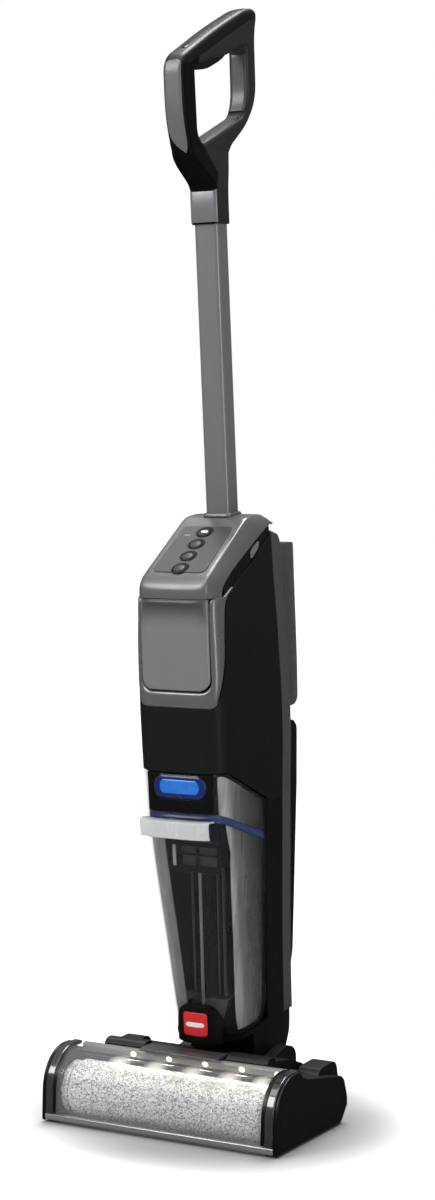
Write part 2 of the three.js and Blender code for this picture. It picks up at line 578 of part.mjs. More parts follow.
// ---------------------------------------------------------------- wand and handle
function makeHandle() {
  add(body, 'wand_tube', 'wand', upright(tubeOutline(0), 562, 906)
    .subtract(upright(tubeOutline(-2), 550, 920)));

  const loop = outline([
    [4, 915, 6], [-6, 930, 8], [-38, 950, 14], [-50, 990, 20], [-50, 1052, 14], [20, 1088, 30], [95, 1107.5, 12],
    [125, 1111, 14], [114, 1082, 14], [113, 1014, 16], [88, 988, 10], [46, 961, 14], [35, 930, 10], [35.5, 915],
  ]);
  loop.holes.push(outline([
    [-21, 1041, 8], [-20, 974, 7], [-10, 965, 5], [86, 998, 11], [94, 1018, 8], [95, 1070, 8], [40, 1053, 12],
  ]));
  let frame = across(loop, -12, 12, 5);
  frame = frame.add(upright(rounded(17, 3.4, 36, 8), 885, 925));
  const flare = through([[-17, 924], [17, 924], [12, 965], [-12, 965]], 3.4, 36).intersect(
    across([[3.4, 924], [36, 924], [44, 958], [30, 966], [-4, 966], [-6, 940]], -20, 20));
  frame = frame.add(flare).subtract(upright(tubeOutline(GAP), 880, 906.3));
  // The soft grip is the top of the loop; it sits on the frame.
  const gripCut = [[-70, 1042], [-34, 1042], [-24, 1047], [34, 1070], [100, 1096], [140, 1104], [140, 1150], [-70, 1150]];
  const grip = across(loop, -12, 12, 5).intersect(across(gripCut, -20, 20));
  add(body, 'handle_grip', 'soft', grip);
  const inset = gripCut.map(([v, w]) => [v, w - GAP]);
  frame = frame.subtract(across(inset, -20, 20));
  frame = frame.subtract(block(-9.3, 9.3, -60, -47.2, 965, 1050));
  frame = frame.subtract(block(-13.3, 13.3, 0, 5.8, 887, 917));
  // The trigger sits in a pocket under the grip and swings about its rear end.
  frame = frame.subtract(across([[-21.2, 1020], [-21.2, 1046.5], [54, 1071], [54, 1040]], -9.3, 9.3)
    .intersect(across([[-21.7, 1039], [-21.7, 1050], [55, 1072], [55, 1050], [40, 1050], [9, 1041]], -10, 10)));
  add(body, 'handle_frame', 'charcoal', frame);
  add(body, 'trigger', 'soft', across([[-19, 1037.5, 2], [-19, 1042, 2], [44, 1061.5], [53, 1063, 2],
    [53, 1058, 2], [40, 1050.5, 6], [8, 1039.5, 6]], -9, 9));
  add(body, 'handle_front_insert', 'silver', block(-9, 9, -49.8, -47.5, 965.3, 1041.4));
  add(body, 'collar_insert', 'silver', block(-13, 13, 3.6, 5.5, 887.3, 916.7));
}

// ---------------------------------------------------------------- recovery tank
function makeTank() {
  const cup = [[-FAR, 52], [-3, 52, 26], [-1.2, rim(-1.2)], [-FAR, rim(-FAR)]];
  const cupInner = [[-FAR, 55], [-6, 55, 20], [-3.7, rim(-3.7, 20)], [-FAR, rim(-FAR, 20)]];
  add(body, 'tank_cup', 'clear', envelope(0, 30).intersect(across(cup, -60, 60))
    .subtract(envelope(2.4, 30).intersect(across(cupInner, -60, 60))));

  const seal = [[-FAR, rim(-FAR, 0.3)], [-1.4, rim(-1.4, 0.3)], [-1.4, rim(-1.4, 3)], [-FAR, rim(-FAR, 3)]];
  const hole = [[-FAR, rim(-FAR, -5)], [-5.5, rim(-5.5, -5)], [-5.5, rim(-5.5, 9)], [-FAR, rim(-FAR, 9)]];
  add(body, 'tank_gasket', 'seal', envelope(0.4, 30).intersect(across(seal, -60, 60))
    .subtract(envelope(4.4, 30).intersect(across(hole, -60, 60))));

  const lid = [[-FAR, rim(-FAR, 3.3)], [-1.2, rim(-1.2, 3.3)], [-1.2, coverEdge(-1.2, 1.5)],
    [COVER_BEND_V, coverEdge(COVER_BEND_V, 1.5)], [-FAR, coverEdge(-FAR, 1.5)]];
  const lidInner = [[-FAR, rim(-FAR, 0)], [-4.5, rim(-4.5, 0)], [-4.5, coverEdge(-4.5, 4.5)],
    [-80, coverEdge(-80, 4.5)]];
  let cap = envelope(1.5, 30).intersect(across(lid, -60, 60));
  cap = cap.subtract(envelope(4.5, 30).intersect(across(lidInner, -60, 60)).subtract(block(-33, 33, -120, -78, 300, 340)));
  cap = cap.subtract(through(rounded(29.4, 309.5, 334, 9), -120, -85));
  add(body, 'tank_lid', 'charcoal', cap);
  const latch = envelope(0.6, 30).intersect(through(rounded(28, 311, 332.5, 9), -120, -85.5));
  add(body, 'tank_latch', 'blue', latch.subtract(block(-60, 60, -87.4, 0, 300, 340)));

  // Clear grip: a skirt that stands off the tank's front, joined to it by a sloping web.
  const zone = across([[-FAR, 271], [-78, 271], [-78, 300], [-FAR, 300]], -43, 43);
  const skirt = envelope(-15, 30).subtract(envelope(-12.8, 30))
    .intersect(across([[-FAR, 271], [0, 271], [0, 289], [-FAR, 289]], -60, 60));
  const web = envelope(-15, 30).subtract(envelope(-GAP, 30))
    .intersect(across([[-FAR, 286.6], [0, 286.6], [0, 289], [-FAR, 289]], -60, 60));
  add(body, 'tank_grip', 'clear', skirt.add(web).intersect(zone.add(block(-43, 43, -FAR, -78, 270, 300))));

  const pipe = post(9, 55.3, 236, 0, -40, 20).subtract(post(7, 50, 240, 0, -40, 20));
  const foot = across([[-60, 55.3], [-30, 55.3], [-28, 84], [-50, 84], [-60, 64]], -20, 20);
  add(body, 'standpipe', 'soft', pipe.add(foot.subtract(post(8, 50, 240, 0, -40, 20))));

  // Strainer: a tray with ribs that hangs under the gasket and guides the float.
  const tray = (d) => [[-82 + d, 236 + d], [-8 - d, 214 + d], [-8 - d, rim(-8, -4)], [-82 + d, rim(-82, -4)]];
  let strainer = across(tray(0), -37, 37);
  strainer = strainer.subtract(across([[-80, 239], [-10, 217], [-10, 300], [-80, 300]], -35, 35));
  strainer = strainer.add(across(tray(1), -12.5, -10.5)).add(across(tray(1), 10.5, 12.5));
  for (const x of [-24, 0, 24]) strainer = strainer.subtract(block(x - 8, x + 8, -100, -78, 243, 262));
  strainer = strainer.subtract(post(9.6, 200, 245, 0, -40, 20)).intersect(envelope(3, 20));
  add(body, 'strainer', 'soft', strainer);
  add(body, 'float', 'lip', post(6, 236.4, 251, 0, -64, 16));
  add(body, 'tank_filter', 'pile', across([[-64, 287], [-8, 262], [-8, coverEdge(-8, 4.8)], [-64, coverEdge(-64, 4.8)]], -34, 34));
}

// ---------------------------------------------------------------- clean-water tank
function makeCleanTank() {
  const back = [[BAND_V + GAP + 0.3, 374], [92, 374, 4], [100, 380, 4], [108, 530], [104, 549, 8], [BAND_V + GAP + 0.3, 550]];
  const inside = [[BAND_V + 3.4, 378], [92, 378], [97, 382], [105, 528], [101, 545], [BAND_V + 3.4, 546]];
  const plan = (d) => rounded(41 - d, BAND_V - 20, 109 - d, 12);
  let tank = across(back, -60, 60).intersect(upright(plan(0), 360, 560));
  tank = tank.subtract(across(inside, -60, 60).intersect(upright(plan(3), 376, 547)));
  tank = tank.subtract(post(10, 540, 560, 0, 86, 24));
  add(body, 'clean_tank', 'smoke', tank);
  add(body, 'fill_cap', 'blue', post(12.5, 550.3, 552.8, 0, 86, 24).add(post(8.6, 546.5, 550.4, 0, 86, 24))
    .add(block(-4, 4, 97, 101.5, 550.3, 552.8)));
}

makeHead();
makeBrush();
makeWheels();
makeWindow();
makeNeck();
makeFrame();
makeCover();
makeHousing();
makeControls();
makeInternals();
makeHandle();
makeTank();
makeCleanTank();

export default machine;
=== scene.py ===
"""Looks of an upright wet and dry floor scrubber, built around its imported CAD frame."""

from functools import lru_cache
from math import atan2, cos, hypot, pi, radians, sin, sqrt

import bmesh
import bpy
import numpy as np
from mathutils import Matrix, Vector
from mathutils.geometry import tessellate_polygon


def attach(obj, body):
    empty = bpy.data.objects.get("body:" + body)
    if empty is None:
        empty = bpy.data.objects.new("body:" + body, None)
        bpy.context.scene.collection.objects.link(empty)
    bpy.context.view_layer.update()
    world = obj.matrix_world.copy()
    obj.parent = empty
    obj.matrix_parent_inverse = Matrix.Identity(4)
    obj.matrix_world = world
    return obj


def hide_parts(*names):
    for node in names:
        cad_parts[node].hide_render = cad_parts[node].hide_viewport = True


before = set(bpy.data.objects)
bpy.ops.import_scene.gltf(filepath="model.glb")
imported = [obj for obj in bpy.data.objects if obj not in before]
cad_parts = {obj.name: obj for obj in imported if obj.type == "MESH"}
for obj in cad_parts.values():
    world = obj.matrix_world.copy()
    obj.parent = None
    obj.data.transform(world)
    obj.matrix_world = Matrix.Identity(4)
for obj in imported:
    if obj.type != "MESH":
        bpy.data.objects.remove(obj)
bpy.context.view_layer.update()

# ------------------------------------------------------------------ frames of reference
# Shapes are written in millimetres in the head's own frame (y from its front edge) or in the
# leaning body's frame (v backwards, w up along the wand), and placed in the row frame in metres.
MM = Matrix.Scale(0.001, 4)
LEAN = radians(7.2)
CENTRE_Y = 0.1173
HEAD = Matrix.Translation((0, -CENTRE_Y, 0)) @ MM
BODY = Matrix.Translation((0, 0.175 - CENTRE_Y, 0.046)) @ Matrix.Rotation(LEAN, 4, "X") @ MM
PANEL_V, PANEL_W = -80.0, 539.6
PANEL_RISE = atan2(582 - PANEL_W, 78)
PANEL = BODY @ Matrix.Translation((0, PANEL_V, PANEL_W)) @ Matrix.Rotation(PANEL_RISE, 4, "X")

# The tank's leaning front, for materials whose painted highlight and shade change from front to back (row
# frame, metres).
HAZE_LEAN = 0.254
HAZE_FRONT = 0.0035
# Heights between which painted shade darkens the battery door's finger scoop (row frame, metres).
SCOOP_LOW, SCOOP_HIGH = 0.512, 0.535
# Half widths between which that painted shade fades out, and how dark it gets.
SCOOP_INNER, SCOOP_OUTER, SCOOP_SHADE = 0.030, 0.040, 0.36

# ------------------------------------------------------------------ materials


def principled(name):
    material = bpy.data.materials.new(name)
    material.use_nodes = True
    tree = material.node_tree
    shader = tree.nodes["Principled BSDF"]
    return material, tree, shader


def node(tree, kind, inputs=(), **settings):
    made = tree.nodes.new(kind)
    for key, value in settings.items():
        setattr(made, key, value)
    for key, value in dict(inputs).items():
        made.inputs[key].default_value = value
    return made


def noise_value(tree, coords, scale, detail=3.0, rough=0.55):
    made = node(tree, "ShaderNodeTexNoise", {"Scale": scale, "Detail": detail, "Roughness": rough})
    tree.links.new(coords, made.inputs["Vector"])
    return made.outputs["Fac"]


def ramp(tree, fac, low, high, to_low, to_high):
    made = node(tree, "ShaderNodeMapRange", {"From Min": low, "From Max": high,
                                             "To Min": to_low, "To Max": to_high})
    tree.links.new(fac, made.inputs["Value"])
    return made.outputs["Result"]


def two_colours(tree, fac, first, second):
    made = node(tree, "ShaderNodeMix", data_type="RGBA")
    tree.links.new(fac, made.inputs["Factor"])
    made.inputs[6].default_value = (*first, 1)
    made.inputs[7].default_value = (*second, 1)
    return made.outputs[2]


def moulded(name, colour, rough=0.4, grain=2500, bump=0.08, vary=0.10, metallic=0.0, coat=0.0,
            alpha=1.0, spec=0.5, cloud=14, stretch=None, coat_rough=0.08):
    """Moulded or painted surface: fine grain, cloudy gloss, slight colour drift."""
    material, tree, shader = principled(name)
    coords = node(tree, "ShaderNodeTexCoord").outputs["Object"]
    if stretch:
        mapping = node(tree, "ShaderNodeMapping", {"Scale": stretch})
        tree.links.new(coords, mapping.inputs["Vector"])
        coords = mapping.outputs["Vector"]
    drift = noise_value(tree, coords, cloud, 4)
    darker = tuple(c * (1 - vary) for c in colour)
    lighter = tuple(min(1, c * (1 + vary)) for c in colour)
    tree.links.new(two_colours(tree, drift, darker, lighter), shader.inputs["Base Color"])
    gloss = noise_value(tree, coords, cloud * 5, 5, 0.65)
    tree.links.new(ramp(tree, gloss, 0.25, 0.75, max(0.02, rough - 0.05), rough + 0.05),
                   shader.inputs["Roughness"])
    grain_fac = noise_value(tree, coords, grain, 2, 0.5)
    bumped = node(tree, "ShaderNodeBump", {"Strength": bump, "Distance": 0.0002})
    tree.links.new(grain_fac, bumped.inputs["Height"])
    tree.links.new(bumped.outputs["Normal"], shader.inputs["Normal"])
    shader.inputs["Metallic"].default_value = metallic
    shader.inputs["Coat Weight"].default_value = coat
    shader.inputs["Coat Roughness"].default_value = coat_rough
    shader.inputs["Alpha"].default_value = alpha
    shader.inputs["Specular IOR Level"].default_value = spec
    return material


def clear_plastic(name, colour, alpha, rough=0.06, scuff=0.05):
    """Clear or smoked plastic: a thin tinted film with sharp reflections and faint scuffs."""
    material, tree, shader = principled(name)
    coords = node(tree, "ShaderNodeTexCoord").outputs["Object"]
    streak = node(tree, "ShaderNodeMapping", {"Scale": (60, 60, 9)})
    tree.links.new(coords, streak.inputs["Vector"])
    haze = noise_value(tree, streak.outputs["Vector"], 1.0, 5, 0.6)
    tree.links.new(two_colours(tree, haze, colour, tuple(min(1, c * 1.15) for c in colour)),
                   shader.inputs["Base Color"])
    tree.links.new(ramp(tree, haze, 0.3, 0.75, rough, rough + scuff), shader.inputs["Roughness"])
    shader.inputs["Alpha"].default_value = alpha
    shader.inputs["IOR"].default_value = 1.5
    shader.inputs["Specular IOR Level"].default_value = 0.9
    shader.inputs["Coat Weight"].default_value = 1.0
    shader.inputs["Coat Roughness"].default_value = 0.03
    return material


def glowing(name, colour, strength):
    material, tree, shader = principled(name)
    coords = node(tree, "ShaderNodeTexCoord").outputs["Object"]
    fac = noise_value(tree, coords, 400, 2)
    tree.links.new(two_colours(tree, fac, colour, tuple(min(1, c * 1.1) for c in colour)),
                   shader.inputs["Emission Color"])
    shader.inputs["Base Color"].default_value = (*colour, 1)
    shader.inputs["Emission Strength"].default_value = strength
    shader.inputs["Roughness"].default_value = 0.3
    return material


def haze_with_painted_sheen(name):
    """The misted sides of a clear tank: a painted highlight makes the front corner palest, and painted shade
    darkens them, streaky, to the back.
    """
    material, tree, shader = principled(name)
    coords = node(tree, "ShaderNodeTexCoord").outputs["Object"]
    place_in = node(tree, "ShaderNodeSeparateXYZ")
    tree.links.new(coords, place_in.inputs["Vector"])
    # How far behind the leaning front of the tank, in metres.
    lean = node(tree, "ShaderNodeMath", {1: HAZE_LEAN}, operation="MULTIPLY_ADD")
    tree.links.new(place_in.outputs["Z"], lean.inputs[0])
    tree.links.new(place_in.outputs["Y"], lean.inputs[2])
    depth = ramp(tree, lean.outputs["Value"], HAZE_FRONT, HAZE_FRONT + 0.085, 0.0, 1.0)
    # Painted highlight near the front corner, then painted shade deepening towards the back.
    painted_sheen_ramp = node(tree, "ShaderNodeValToRGB")
    stops = painted_sheen_ramp.color_ramp.elements
    stops[0].position, stops[0].color = 0.0, (0.36, 0.36, 0.37, 1)
    stops[1].position, stops[1].color = 1.0, (0.060, 0.060, 0.064, 1)
    for position, grey in ((0.10, 0.38), (0.15, 0.75), (0.27, 0.72), (0.37, 0.36), (0.6, 0.22),
                           (0.85, 0.12)):
        stop = stops.new(position)
        stop.color = (grey, grey, grey * 1.02, 1)
    tree.links.new(depth, painted_sheen_ramp.inputs["Fac"])
    drawn = node(tree, "ShaderNodeMapping", {"Scale": (170, 170, 5)})
    tree.links.new(coords, drawn.inputs["Vector"])
    streaks = noise_value(tree, drawn.outputs["Vector"], 1.0, 4, 0.6)
    blotches = noise_value(tree, coords, 22, 3, 0.55)
    both = node(tree, "ShaderNodeMath", operation="MULTIPLY")
    tree.links.new(ramp(tree, streaks, 0.3, 0.7, 0.72, 1.25), both.inputs[0])
    tree.links.new(ramp(tree, blotches, 0.3, 0.7, 0.85, 1.12), both.inputs[1])
    tinted = node(tree, "ShaderNodeVectorMath", operation="SCALE")
    tree.links.new(painted_sheen_ramp.outputs["Color"], tinted.inputs["Vector"])
    tree.links.new(both.outputs["Value"], tinted.inputs["Scale"])
    tree.links.new(tinted.outputs["Vector"], shader.inputs["Base Color"])
    shader.inputs["Alpha"].default_value = 0.52
    shader.inputs["Roughness"].default_value = 0.4
    return material


def door_material_painted_shade(name, colour):
    """Satin grey with painted shade that darkens it towards the deep top of the finger scoop."""
    material = moulded(name, colour, 0.34, bump=0.08, vary=0.04, metallic=0.35)
    tree = material.node_tree
    shader = tree.nodes["Principled BSDF"]
    base = shader.inputs["Base Color"].links[0].from_socket
    coords = node(tree, "ShaderNodeTexCoord").outputs["Object"]
    place_in = node(tree, "ShaderNodeSeparateXYZ")
    tree.links.new(coords, place_in.inputs["Vector"])
    across = node(tree, "ShaderNodeMath", operation="ABSOLUTE")
    tree.links.new(place_in.outputs["X"], across.inputs[0])
    outside = ramp(tree, across.outputs["Value"], SCOOP_INNER, SCOOP_OUTER, 0.0, 1.0)
    # Painted shade: darker up the scoop, fading out beyond its sides.
    painted_shade = ramp(tree, place_in.outputs["Z"], SCOOP_LOW, SCOOP_HIGH, 1.0, SCOOP_SHADE)
    factor = node(tree, "ShaderNodeMath", operation="MAXIMUM")
    tree.links.new(outside, factor.inputs[0])
    tree.links.new(painted_shade, factor.inputs[1])
    painted_shade_colour = node(tree, "ShaderNodeVectorMath", operation="SCALE")
    tree.links.new(base, painted_shade_colour.inputs["Vector"])
    tree.links.new(factor.outputs["Value"], painted_shade_colour.inputs["Scale"])
    tree.links.new(painted_shade_colour.outputs["Vector"], shader.inputs["Base Color"])
    return material


def bloom_material(name, colour, strength):
    """A soft patch of light that fades to nothing at its rim."""
    material, tree, shader = principled(name)
    coords = node(tree, "ShaderNodeTexCoord").outputs["Generated"]
    centred = node(tree, "ShaderNodeMapping", {"Location": (-1, -1, -1), "Scale": (2, 2, 2)})
    tree.links.new(coords, centred.inputs["Vector"])
    ball = node(tree, "ShaderNodeTexGradient", gradient_type="SPHERICAL")
    tree.links.new(centred.outputs["Vector"], ball.inputs["Vector"])
    shader.inputs["Emission Color"].default_value = (*colour, 1)
    shader.inputs["Base Color"].default_value = (*colour, 1)
    tree.links.new(ramp(tree, ball.outputs["Fac"], 0.0, 0.8, 0.25 * strength, strength),
                   shader.inputs["Emission Strength"])
    tree.links.new(ramp(tree, ball.outputs["Fac"], 0.0, 0.95, 0.0, 0.85), shader.inputs["Alpha"])
    shader.inputs["Specular IOR Level"].default_value = 0.0
    return material


def pile_material(name):
    """Short white microfibre pile with grey and dark bristle tips."""
    material, tree, shader = principled(name)
    coords = node(tree, "ShaderNodeTexCoord").outputs["Object"]
    cells = node(tree, "ShaderNodeTexVoronoi", {"Scale": 760.0, "Randomness": 1.0})
    tree.links.new(coords, cells.inputs["Vector"])
    tone = node(tree, "ShaderNodeSeparateColor")
    tree.links.new(cells.outputs["Color"], tone.inputs["Color"])
    tufts = node(tree, "ShaderNodeValToRGB")
    stops = tufts.color_ramp.elements
    stops[0].position, stops[0].color = 0.0, (0.10, 0.10, 0.11, 1)
    stops[1].position, stops[1].color = 1.0, (0.90, 0.90, 0.91, 1)
    for position, grey in ((0.15, 0.24), (0.35, 0.50), (0.6, 0.70)):
        stop = stops.new(position)
        stop.color = (grey, grey, grey * 1.02, 1)
    tree.links.new(tone.outputs["Red"], tufts.inputs["Fac"])
    tree.links.new(tufts.outputs["Color"], shader.inputs["Base Color"])
    fuzz = noise_value(tree, coords, 1400, 3, 0.7)
    bumped = node(tree, "ShaderNodeBump", {"Strength": 0.7, "Distance": 0.0012})
    tree.links.new(fuzz, bumped.inputs["Height"])
    tree.links.new(bumped.outputs["Normal"], shader.inputs["Normal"])
    shader.inputs["Roughness"].default_value = 0.95
    shader.inputs["Sheen Weight"].default_value = 0.5
    shader.inputs["Sheen Roughness"].default_value = 0.5
    return material


BLACK = moulded("black_gloss", (0.0040, 0.0040, 0.0043), 0.30, bump=0.03, vary=0.12, spec=0.30)
COVER = moulded("cover_black", (0.0065, 0.0065, 0.0068), 0.46, bump=0.05, vary=0.12, spec=0.32)
SATIN = moulded("black_satin", (0.0055, 0.0055, 0.0058), 0.42, bump=0.12, vary=0.12, spec=0.30)
CHARCOAL = moulded("charcoal", (0.017, 0.017, 0.018), 0.45, bump=0.15, spec=0.4)
HANDLE = moulded("handle_charcoal", (0.019, 0.019, 0.020), 0.38, bump=0.08, vary=0.1, spec=0.35)
INK = moulded("handle_black", (0.0022, 0.0022, 0.0024), 0.5, bump=0.06, vary=0.12, spec=0.18)
SOFT = moulded("soft_black", (0.0034, 0.0034, 0.0037), 0.40, grain=1800, bump=0.12, spec=0.35)
GREY = moulded("housing_grey", (0.125, 0.127, 0.132), 0.32, bump=0.03, vary=0.03, metallic=0.35, coat=0.35,
               coat_rough=0.22)
INLAY = moulded("panel_grey", (0.045, 0.046, 0.049), 0.42, bump=0.10, vary=0.05, metallic=0.25)
SLOT_HIGHLIGHT_GREY = moulded("slot_highlight_grey", (0.205, 0.208, 0.216), 0.34, bump=0.08, vary=0.04, metallic=0.35)
STRIP = moulded("strip_grey", (0.135, 0.137, 0.142), 0.36, bump=0.08, vary=0.04, metallic=0.35)
DOOR = door_material_painted_shade("door_grey_painted_scoop_shade", (0.205, 0.208, 0.216))
BAND = moulded("band_grey", (0.055, 0.055, 0.058), 0.42, bump=0.12, vary=0.06)
GUNMETAL = moulded("gunmetal", (0.170, 0.172, 0.179), 0.30, bump=0.0, vary=0.03, metallic=0.55, coat=0.4,
                   coat_rough=0.15)
WAND = moulded("wand_grey", (0.215, 0.218, 0.228), 0.34, grain=1600, bump=0.05, vary=0.04, metallic=0.5,
               stretch=(1, 1, 0.08))
BLUE = moulded("blue", (0.006, 0.13, 0.50), 0.28, bump=0.02, vary=0.12, coat=0.6)
# Darker blue for the latch button's rim: painted shade.
NAVY_PAINTED_SHADE = moulded("navy_painted_shade", (0.002, 0.014, 0.11), 0.25, bump=0.02, vary=0.12, coat=0.4)
SEAL = moulded("seal_blue", (0.02, 0.055, 0.22), 0.4, bump=0.1, vary=0.1)
RUBBER = moulded("rubber", (0.010, 0.010, 0.010), 0.75, grain=900, bump=0.5, vary=0.2)
METAL = moulded("metal", (0.42, 0.42, 0.44), 0.3, metallic=0.95, bump=0.05, stretch=(1, 1, 0.1))
ROD_HIGHLIGHT = moulded("rod_highlight_steel", (0.62, 0.62, 0.64), 0.32, metallic=0.6, bump=0.05, stretch=(1, 1, 0.1))
BOARD = moulded("board_green", (0.010, 0.07, 0.022), 0.45, bump=0.1)
FILTER = moulded("filter_pleats", (0.55, 0.55, 0.53), 0.9, grain=600, bump=0.5, vary=0.15)
RED = moulded("badge_red", (0.62, 0.012, 0.010), 0.3, bump=0.02, coat=0.5)
WHITE = moulded("print_white", (0.75, 0.75, 0.75), 0.4, bump=0.02)
LIP = moulded("lip_silver", (0.45, 0.45, 0.47), 0.22, bump=0.03, metallic=0.6, coat=0.5)
TAB = moulded("tab_grey", (0.075, 0.076, 0.080), 0.34, bump=0.08, metallic=0.4)
RIB = moulded("rib_grey", (0.060, 0.060, 0.064), 0.35, bump=0.05, vary=0.3, stretch=(1, 1, 0.1))
CLEAR = clear_plastic("tank_clear", (0.045, 0.046, 0.050), 0.16)
WINDOW = clear_plastic("window_clear", (0.80, 0.82, 0.85), 0.07)
FROST = clear_plastic("frosted", (0.50, 0.51, 0.53), 0.80, 0.22, 0.1)
SMOKE = clear_plastic("smoke", (0.050, 0.051, 0.056), 0.9, 0.16)
EDGE = clear_plastic("window_edge", (0.030, 0.030, 0.033), 0.93, 0.12)
HAZE_PAINTED_SHEEN = haze_with_painted_sheen("tank_haze_painted_sheen")
LED = glowing("led", (1.0, 0.92, 0.78), 1.1)
BLOOM = bloom_material("led_bloom", (1.0, 0.95, 0.86), 0.95)
BARGLOW = glowing("light_bar", (0.15, 0.15, 0.145), 0.05)
KEYLIT = glowing("key_light", (0.85, 0.9, 1.0), 1.6)
PILE = pile_material("pile")

# ------------------------------------------------------------------ meshes


def finish_mesh(mesh, angle):
    mesh.polygons.foreach_set("use_smooth", [True] * len(mesh.polygons))
    mesh.set_sharp_from_angle(angle=radians(angle))


def place(name, mesh, space, material, body, nodes=(), sharp=35):
    """Puts a millimetre mesh in the row frame, gives it its material and tells the frame about it."""
    mesh.transform(space)
    finish_mesh(mesh, sharp)
    mesh.materials.clear()
    mesh.materials.append(material)
    made = bpy.data.objects.new(name, mesh)
    bpy.context.scene.collection.objects.link(made)
    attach(made, body)
    if nodes:
        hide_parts(*nodes)
    return made


def new_mesh(name, verts, faces, merge=0.01, outward_from=None):
    mesh = bpy.data.meshes.new(name)
    mesh.from_pydata([tuple(map(float, v)) for v in verts], [], faces)
    bm = bmesh.new()
    bm.from_mesh(mesh)
    bmesh.ops.remove_doubles(bm, verts=bm.verts, dist=merge)
    bmesh.ops.dissolve_degenerate(bm, dist=1e-4, edges=bm.edges)
    bmesh.ops.recalc_face_normals(bm, faces=bm.faces)
    if outward_from is not None:
        centre = Vector(outward_from)
        turned = sum(f.normal.dot(f.calc_center_median() - centre) * f.calc_area() for f in bm.faces)
        if turned < 0:
            bmesh.ops.reverse_faces(bm, faces=bm.faces)
    bm.to_mesh(mesh)
    bm.free()
    return mesh


def sheet_mesh(name, rows, closed=False, cap_first=False, cap_last=False, outward_from=None, merge=0.01):
    """A mesh from rows of points, each row the same length."""
    count = len(rows[0])
    verts = [p for row in rows for p in row]
    faces = []
    span = count if closed else count - 1
    for r in range(len(rows) - 1):
        for c in range(span):
            a, b = r * count + c, r * count + (c + 1) % count
            faces.append((a, b, b + count, a + count))
    if cap_first:
        faces.append(tuple(reversed(range(count))))
    if cap_last:
        faces.append(tuple(range((len(rows) - 1) * count, len(rows) * count)))
    return new_mesh(name, verts, faces, merge, outward_from)


def thicken(made, thickness, bevel=0.0, offset=-1.0, segments=3, even=True):
    solid = made.modifiers.new("thickness", "SOLIDIFY")
    solid.thickness = thickness * 0.001
    solid.offset = offset
    solid.use_even_offset = even
    if bevel:
        soften_edges(made, bevel, segments)
    return made


def soften_edges(made, width, segments=3, angle=40):
    bevel = made.modifiers.new("edges", "BEVEL")
    bevel.width = width * 0.001
    bevel.segments = segments
    bevel.limit_method = "ANGLE"
    bevel.angle_limit = radians(angle)
    bevel.use_clamp_overlap = True
    bevel.harden_normals = True
    bevel.miter_outer = "MITER_ARC"
    return made


def shell(name, rows, outward, space, material, body, nodes, sharp, thick, bevel=0.0, even=True):
    """A sheet of rows that faces away from the point outward, with a thickness behind it."""
    mesh = sheet_mesh(name, rows, outward_from=outward)
    made = place(name, mesh, space, material, body, nodes, sharp)
    return thicken(made, thick, bevel, even=even)


def subdivide(made, levels):
    subsurf = made.modifiers.new("smooth", "SUBSURF")
    subsurf.levels = levels
    subsurf.render_levels = levels
    subsurf.boundary_smooth = "PRESERVE_CORNERS"
    return made


def softened(node_name, material, body, width=0.6, segments=3, angle=32, sharp=30, name=None):
    """A finer copy of a CAD node: flats merged, edges rounded, shading smooth across the rounds."""
    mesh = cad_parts[node_name].data.copy()
    bm = bmesh.new()
    bm.from_mesh(mesh)
    bmesh.ops.remove_doubles(bm, verts=bm.verts, dist=2e-6)
    bmesh.ops.dissolve_limit(bm, angle_limit=radians(0.6), verts=bm.verts, edges=bm.edges,
                             use_dissolve_boundaries=False)
    bmesh.ops.recalc_face_normals(bm, faces=bm.faces)
    bm.to_mesh(mesh)
    bm.free()
    made = place(name or node_name + "_fine", mesh, Matrix(), material, body, (node_name,), sharp)
    soften_edges(made, width, segments, angle)
    return made


def corner_points(points, steps=10):
    """A closed outline with rounded corners: each point is (a, b) or (a, b, radius)."""
    out = []
    count = len(points)
    for i, point in enumerate(points):
        here = np.array(point[:2], float)
        radius = point[2] if len(point) > 2 else 0
        if not radius:
            out.append(tuple(here))
            continue
        before = np.array(points[(i - 1) % count][:2], float) - here
        after = np.array(points[(i + 1) % count][:2], float) - here
        start = here + before / np.linalg.norm(before) * radius
        end = here + after / np.linalg.norm(after) * radius
        for k in range(steps + 1):
            t = k / steps
            out.append(tuple((1 - t) ** 2 * start + 2 * t * (1 - t) * here + t * t * end))
    return out


def inset_outline(points, amount):
    """The closed outline moved inwards (or a hole's outwards) by amount, along its normals."""
    pts = np.array(points)
    before, after = pts - np.roll(pts, 1, 0), np.roll(pts, -1, 0) - pts
    before /= np.linalg.norm(before, axis=1)[:, None]
    after /= np.linalg.norm(after, axis=1)[:, None]
    normal = np.stack([-(before + after)[:, 1], (before + after)[:, 0]], 1)
    normal /= np.linalg.norm(normal, axis=1)[:, None]
    across = before[:, 0] * normal[:, 1] - before[:, 1] * normal[:, 0]
    return pts + normal * (amount / np.maximum(across, 0.5))[:, None]


def turning(points):
    """Twice the signed area: positive for an outline that runs anticlockwise."""
    pts = np.array(points)
    nxt = np.roll(pts, -1, 0)
    return float((pts[:, 0] * nxt[:, 1] - pts[:, 1] * nxt[:, 0]).sum())


def without_doubles(points, least=0.04):
    out = [points[0]]
    for point in points[1:]:
        if hypot(point[0] - out[-1][0], point[1] - out[-1][1]) > least:
            out.append(point)
    while hypot(out[-1][0] - out[0][0], out[-1][1] - out[0][1]) <= least:
        out.pop()
    return out


